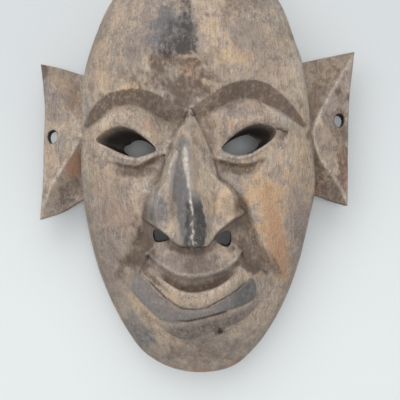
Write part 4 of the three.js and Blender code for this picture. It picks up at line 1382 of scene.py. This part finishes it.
@dataclass
class Mask:
    """The whole mask: the head and both ears in one carved block."""

    head: Head
    ears: tuple[Ear, Ear]
    patches: dict[Kind, tuple[tuple[float, ...], ...]]
    finish: WornWood
    crease: float = 52.0
    sunk_blur: float = 4.5
    edge_blur: float = 1.6
    grain_lean: tuple[float, float] = (0.87, 0.5)
    inner: float = 0.95

    def carved(self) -> bpy.types.Object:
        """Join the head and ears, and cut the hollow, the arch and every opening out of them.

        Returns:
            The finished object, with its place in its mesh.
        """
        body = self.head.block().as_object("carved_mask")
        cuts = [self.head.hollow(), self.head.arch_cutter()]
        cuts += [self.head.tunnel(opening) for opening in self.head.openings]
        cuts += [ear.hole_cutter() for ear in self.ears]
        steps = [(ear.body(), "UNION") for ear in self.ears] + [(cut, "DIFFERENCE") for cut in cuts]
        tools = []
        for number, (solid, way) in enumerate(steps):
            tools.append(solid.as_object(f"tool_{number}"))
            step = body.modifiers.new(f"carve_{number}", "BOOLEAN")
            step.operation, step.solver, step.object = way, "MANIFOLD", tools[-1]
        graph = bpy.context.evaluated_depsgraph_get()
        made = bpy.data.meshes.new_from_object(body.evaluated_get(graph))
        body.modifiers.clear()
        body.data = made
        for tool in tools:
            bpy.data.meshes.remove(tool.data)
        return body

    def dress(self, piece: bpy.types.Object) -> None:
        """Store where each finish lies, and give the piece its material.

        Args:
            piece: the carved object.
        """
        mesh = piece.data
        flat = np.empty(len(mesh.vertices) * 3, np.float32)
        mesh.vertices.foreach_get("co", flat)
        for name, values in self.finishes(*(flat.reshape(-1, 3).astype(float) / MM).T).items():
            layer = mesh.attributes.new(name, "FLOAT", "POINT")
            layer.data.foreach_set("value", np.clip(values, 0, 1).astype(np.float32))
        mesh.materials.clear()
        mesh.materials.append(self.finish.material())
        mesh.polygons.foreach_set("material_index", np.zeros(len(mesh.polygons), np.int32))
        mesh.shade_smooth()
        mesh.set_sharp_from_angle(angle=np.radians(self.crease))

    def finishes(self, x: Array, y: Array, z: Array) -> dict[str, Array]:
        """Work out the finish at each point from the shape round it.

        A recess is where the blurred front is higher than the front itself, an edge where it is
        lower, and deep is the depth under the front, inside the openings and the hollow. Shade is
        painted into recesses, creases and deep places, and pale wear with painted highlights onto
        edges and ridges.

        Args:
            x: positions across, in mm.
            y: positions along.
            z: heights.

        Returns:
            Values from 0 to 1 by name.
        """
        relief, inside, parts = Relief(self.head, self.ears), self.head.inside(x, y), self.head.features
        c, s = self.grain_lean
        slant = c * x + s * y, c * y - s * x
        rough = 0.6 * Noise(51, 5.0, 6.0).at(*slant) + 0.45 * Noise(52, 1.8, 2.4).at(*slant)
        depth = relief.read(relief.heights, x, y) - z
        sunk, narrow = (relief.read(relief.blurred(radius) - relief.heights, x, y)
                        for radius in (self.sunk_blur, self.edge_blur))
        under = np.clip(depth, 0, None) * (inside < self.inner)
        on_front = ramp(2.5, 0.8, under)
        rims = np.max([ramp(-4.0, -1.5, o.back.near(x, y, 8.0)[0]) for o in self.head.openings], 0)
        # Deep places inside the openings and the hollow get painted shade.
        deep = 0.6 * ramp(0.4, 2.0, under) + 0.4 * ramp(2.0, 9.0, under)
        deep = deep * np.maximum(ramp(0.2, 1.6, z - self.head.ceiling(x, y)), rims)
        holes, shaded, ridges, seam = self.ear_marks(x, y, z, depth)
        strip, core, worn_highlight_line = self.nose_marks(x, y, rough)
        # The brows are painted darker: painted shade under the brow's upper edge, with grime.
        left_brow = parts["left_brow"].cover(x, y) * (0.65 + 0.35 * ramp(-10.0, -28.0, x))
        right_brow = parts["right_brow"].cover(x, y) * (0.5 + 0.5 * ramp(0.0, 20.0, x))
        mouth = parts["mouth_band"].cover(x, y)
        left_mouth = mouth * ramp(-46.0, -33.0, x + 3 * rough)
        lower = parts["lower_lip"].cover(x, y, 2.0)
        nose_foot = self.head.nose.foot.near(x, y, 6.0)[0]
        # Painted shade in the crease along the foot of the nose.
        crease = np.exp(-((nose_foot + 0.2) / 0.7) ** 2) * ramp(-40.0, -34.0, y) * (0.7 + 0.9 * rough)
        # Cracks, fissures, under-eye grooves and cheek folds are painted darker: painted shade, with some
        # grime.
        cracks = sum(parts[name].cover(x, y) for name in ("lip_crack", "slit", "eye_notch", "temple_crack"))
        fissures = parts["left_fissure"].cover(x, y) + parts["right_fissure"].cover(x, y)
        grooves = parts["left_groove"].hollow(x, y) + parts["right_groove"].hollow(x, y)
        folds = 0.8 * parts["left_fold"].cover(x, y) + parts["right_fold"].cover(x, y)
        tan_lip = parts["upper_lip"].cover(x, y)
        off_line = 1 - 0.55 * ramp(-6.0, -3.5, x + rough) * ramp(-29.0, -18.0, y + 2 * rough)
        shapes = {
            # UMBER on the brows, cracks, grooves, crease, folds, the recess under the plate and the ear
            # seams is painted shade, with some grime.
            Kind.UMBER: (0.72 * left_brow, 0.8 * right_brow, 0.8 * cracks, 0.68 * grooves, 0.75 * crease,
                         0.6 * folds, 0.75 * parts["recess"].hollow(x, y), 0.5 * seam, shaded,
                         0.46 * lower * ramp(-28.0, -12.0, x)),
            # The fissures are painted near black: painted shade.
            Kind.CHAR: (fissures * (0.55 + 0.6 * rough), 0.5 * mouth * ramp(12.0, 26.0, x), core),
            Kind.SLATE: (0.56 * left_mouth, 0.42 * lower, mouth * ramp(-2.0, 22.0, x),
                         strip * (0.86 - 0.16 * ramp(-22.0, -8.0, y)) * off_line),
            Kind.PLUM: (0.4 * left_mouth, 0.4 * lower),
            # The ear ridges and the nose's pale line are wear with a painted highlight.
            Kind.PALE: (0.14 * left_mouth, worn_highlight_line, 0.45 * ridges,
                        0.15 * tan_lip * ramp(24.0, 10.0, np.abs(x + 2))),
            Kind.OCHRE: (0.3 * tan_lip,),
        }
        layers = {}
        for kind in Kind:
            bare = np.ones(x.shape)
            for row in self.patches[kind]:
                bare = bare * (1 - Patch(*row).cover(x, y, rough))
            layers[kind.value] = np.maximum.reduce([1 - bare, *shapes.get(kind, ())])
        on_nose = 0.45 * ramp(0.0, 3.0, nose_foot) * ramp(-54.0, -50.0, y)
        nose_end = ramp(-43.0, -46.0, y) * ramp(-54.0, -52.0, y) * ramp(14.0, 9.0, np.abs(x + 4))
        kept = (1 - 0.8 * parts["mouth_band"].cover(x, y, 2.5)) * (1 - 0.8 * nose_end) * (1 - on_nose)
        clear = 1 - np.maximum(np.maximum(left_brow, right_brow), mouth)
        # Painted shade, with some grime, in the recesses of the front.
        layers["recess"] = ramp(0.3, 3.6, sunk) * on_front * clear * ramp(1.0, 0.93, inside)
        # Pale wear with a painted highlight on raised edges.
        layers["edge"] = ramp(0.12, 1.0, -narrow) * on_front * kept
        # Painted shade inside the openings, the hollow and the cord holes.
        layers["deep"] = np.maximum(deep, holes)
        layers["gloss"] = 0.5 * strip + core + 0.35 * mouth + 0.4 * layers["char"] + on_nose
        return layers

    def ear_marks(self, x: Array, y: Array, z: Array, depth: Array) -> tuple[Array, ...]:
        """Work out what the shape of the ears does to their finish.

        Args:
            x: positions across, in mm.
            y: positions along.
            z: heights.
            depth: depths under the front.

        Returns:
            The painted shade in the cord holes, the painted shade past the ridges, the pale wear
            and painted highlight along the ridges, and the painted shade along the seam with the
            head, from 0 to 1 each.
        """
        holes, shaded, ridges, seam = (np.zeros(x.shape) for _ in range(4))
        beside = self.head.inside(x, y)
        for ear in self.ears:
            away = np.hypot((x - ear.hole[0]) / ear.hole_across, (y - ear.hole[1]) / ear.hole_along)
            # Painted shade in the cord holes.
            holes = np.maximum(holes, (away < 0.58) * ramp(0.4, 3.0, depth))
            own = (x * ear.side > 60) & (beside > 1) & (z > ear.back(x) + 1)
            # Painted shade along the seam between ear and head.
            seam = np.maximum(seam, ramp(1.03, 1.005, beside) * ramp(8.0, 0.0, y) * own)
            for ridge, shade, worn in zip((ear.upper, ear.lower), ear.shades, ear.worn):
                gap, share = ridge.gap(x, y)
                shaded = np.maximum(shaded, shade * ramp(-0.2, 0.6, gap) * own)
                kept = worn * own * ramp(1.6, 0.5, share)
                # Pale wear with a painted highlight along each ridge.
                ridges = np.maximum(ridges, np.exp(-((gap + 0.6) / 1.3) ** 2) * kept)
        return holes, shaded, ridges, seam

    def nose_marks(self, x: Array, y: Array, rough: Array) -> tuple[Array, Array, Array]:
        """Work out the dark strip down the nose, its blackest part and the pale line in it: wear with a
        painted highlight.

        Args:
            x: positions across, in mm.
            y: positions along.
            rough: random values from -1 to 1 that shake the borders.

        Returns:
            Three sets of values from 0 to 1.
        """
        stations = (-52.0, -44.0, -33.0, -25.0, -19.0, -8.0, 3.0, 14.0, 24.0)
        left, right, middle, width = (Profile(stations, values).at(y) for values in (
            (-8.6, -9.7, -11.5, -13.7, -15.5, -15.0, -12.2, -10.0, -6.5),
            (2.8, 4.8, 3.4, 2.0, 0.6, 0.6, -1.0, -4.4, -5.0),
            (-2.2, -2.6, -3.1, -4.0, -4.9, -6.0, -7.0, -7.5, -7.5),
            (2.2, 2.0, 1.4, 0.8, 0.7, 1.5, 1.7, 0.8, 0.4)))
        on_nose = ramp(16.0, 6.0, y) * ramp(-54.0, -51.0, y)
        strip = ramp(-2.0, 2.4, x - left + rough) * ramp(-0.9, 1.3, right - x + rough) * on_nose
        core = strip * (0.25 + 0.75 * ramp(-8.0, -5.0, x + rough)) * ramp(-20.0, -30.0, y + 3 * rough)
        whole = np.maximum(0.85 * ramp(-29.0, -23.0, y + 2 * rough),
                           0.22 + 0.7 * ramp(0.1, 0.45, Noise(53, 0.9, 1.6).at(x, y)))
        # The pale line down the ridge: wear with a painted highlight.
        line = np.exp(-((x - middle + 0.8 * rough) / width) ** 2) * on_nose * ramp(8.0, 2.0, y)
        return strip, 0.85 * core, line * whole * (0.85 + 0.5 * rough)

    def build(self) -> bpy.types.Object:
        """Build and dress the mask and let it stand for its node."""
        piece = self.carved()
        self.dress(piece)
        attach(piece, "root")
        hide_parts("mask")
        return piece


@dataclass(frozen=True)
class Lamp:
    """A round soft light, in metres and watts, that faces a point on the mask."""

    name: str
    at: tuple[float, float, float]
    size: float
    power: float
    faces: tuple[float, float, float] = (0.0, -0.02, 0.05)

    def hang(self) -> None:
        """Add the lamp to the scene."""
        lamp = bpy.data.lights.new(self.name, "AREA")
        lamp.shape, lamp.size, lamp.energy = "DISK", self.size, self.power
        made = in_scene(self.name, lamp)
        made.location = self.at
        aim = np.array(self.at) - np.array(self.faces)
        made.rotation_euler = (np.arctan2(np.hypot(*aim[:2]), aim[2]), 0.0,
                               np.arctan2(aim[1], aim[0]) + np.pi / 2)


@dataclass
class Studio:
    """The pale floor, the soft light and the camera."""

    camera_at: tuple[float, float, float] = (0.0012, -0.0249, 0.640)
    lens: float = 90.0
    sensor: float = 36.0
    floor_half: float = 2.5
    # The floor is painted darker away from the chin: painted light falloff.
    floor_near: Colour = paint(223, 226, 226)
    floor_far: Colour = paint(205, 208, 209)
    sky: Colour = (0.93, 0.97, 1.0, 1.0)
    sky_strength: float = 0.50
    floor_fade: tuple[float, float] = (-0.14, 0.12)
    lamps: tuple[Lamp, ...] = (
        Lamp("key", (-0.40, 0.45, 1.45), 1.7, 8.3),
        Lamp("window", (0.0, 1.30, 1.35), 1.6, 8.2),
        Lamp("top", (0.05, -0.05, 1.50), 0.40, 6.2),
    )

    def floor(self) -> bpy.types.Object:
        """Lay the floor, painted a little darker beyond the crown than below the chin: painted light
        falloff.
        """
        h = self.floor_half
        mesh = bpy.data.meshes.new("floor")
        mesh.from_pydata([(-h, -h, 0), (h, -h, 0), (h, h, 0), (-h, h, 0)], [], [(0, 1, 2, 3)])
        made = in_scene("floor", mesh)
        tree = Tree("pale_floor")
        north = tree.value("ShaderNodeSeparateXYZ", {}, {"Vector": tree.where}, "Y")
        # Painted light falloff: darker beyond the crown.
        colour = tree.mixed(self.floor_near, self.floor_far, north.over(*self.floor_fade))
        mesh.materials.append(tree.surface({"Base Color": colour, "Roughness": 0.85}))
        return made

    def light(self) -> None:
        """Set the even fill and hang the lamps."""
        scene = bpy.context.scene
        scene.world = bpy.data.worlds.new("soft_room")
        scene.world.use_nodes = True
        back = scene.world.node_tree.nodes["Background"]
        back.inputs[0].default_value = self.sky
        back.inputs[1].default_value = self.sky_strength
        scene.view_settings.view_transform = "Standard"
        for lamp in self.lamps:
            lamp.hang()

    def camera(self) -> None:
        """Set the camera over the mask, looking straight down."""
        lens = bpy.data.cameras.new("camera")
        lens.lens, lens.sensor_width = self.lens, self.sensor
        made = in_scene("camera", lens)
        made.location = self.camera_at
        bpy.context.scene.camera = made


def main() -> None:
    """Build everything in order and report each piece."""
    logging.basicConfig(level=logging.INFO, format="%(name)s: %(message)s")
    studio = Studio()
    studio.camera()
    studio.light()
    log.info("floor laid, %d face", len(studio.floor().data.polygons))
    mask = Mask(carved_head(), (left_ear(), right_ear()), PATCHES, WornWood()).build()
    mask.data.calc_loop_triangles()
    log.info("carved mask, %d triangles", len(mask.data.loop_triangles))


if __name__ == "__main__":
    main()
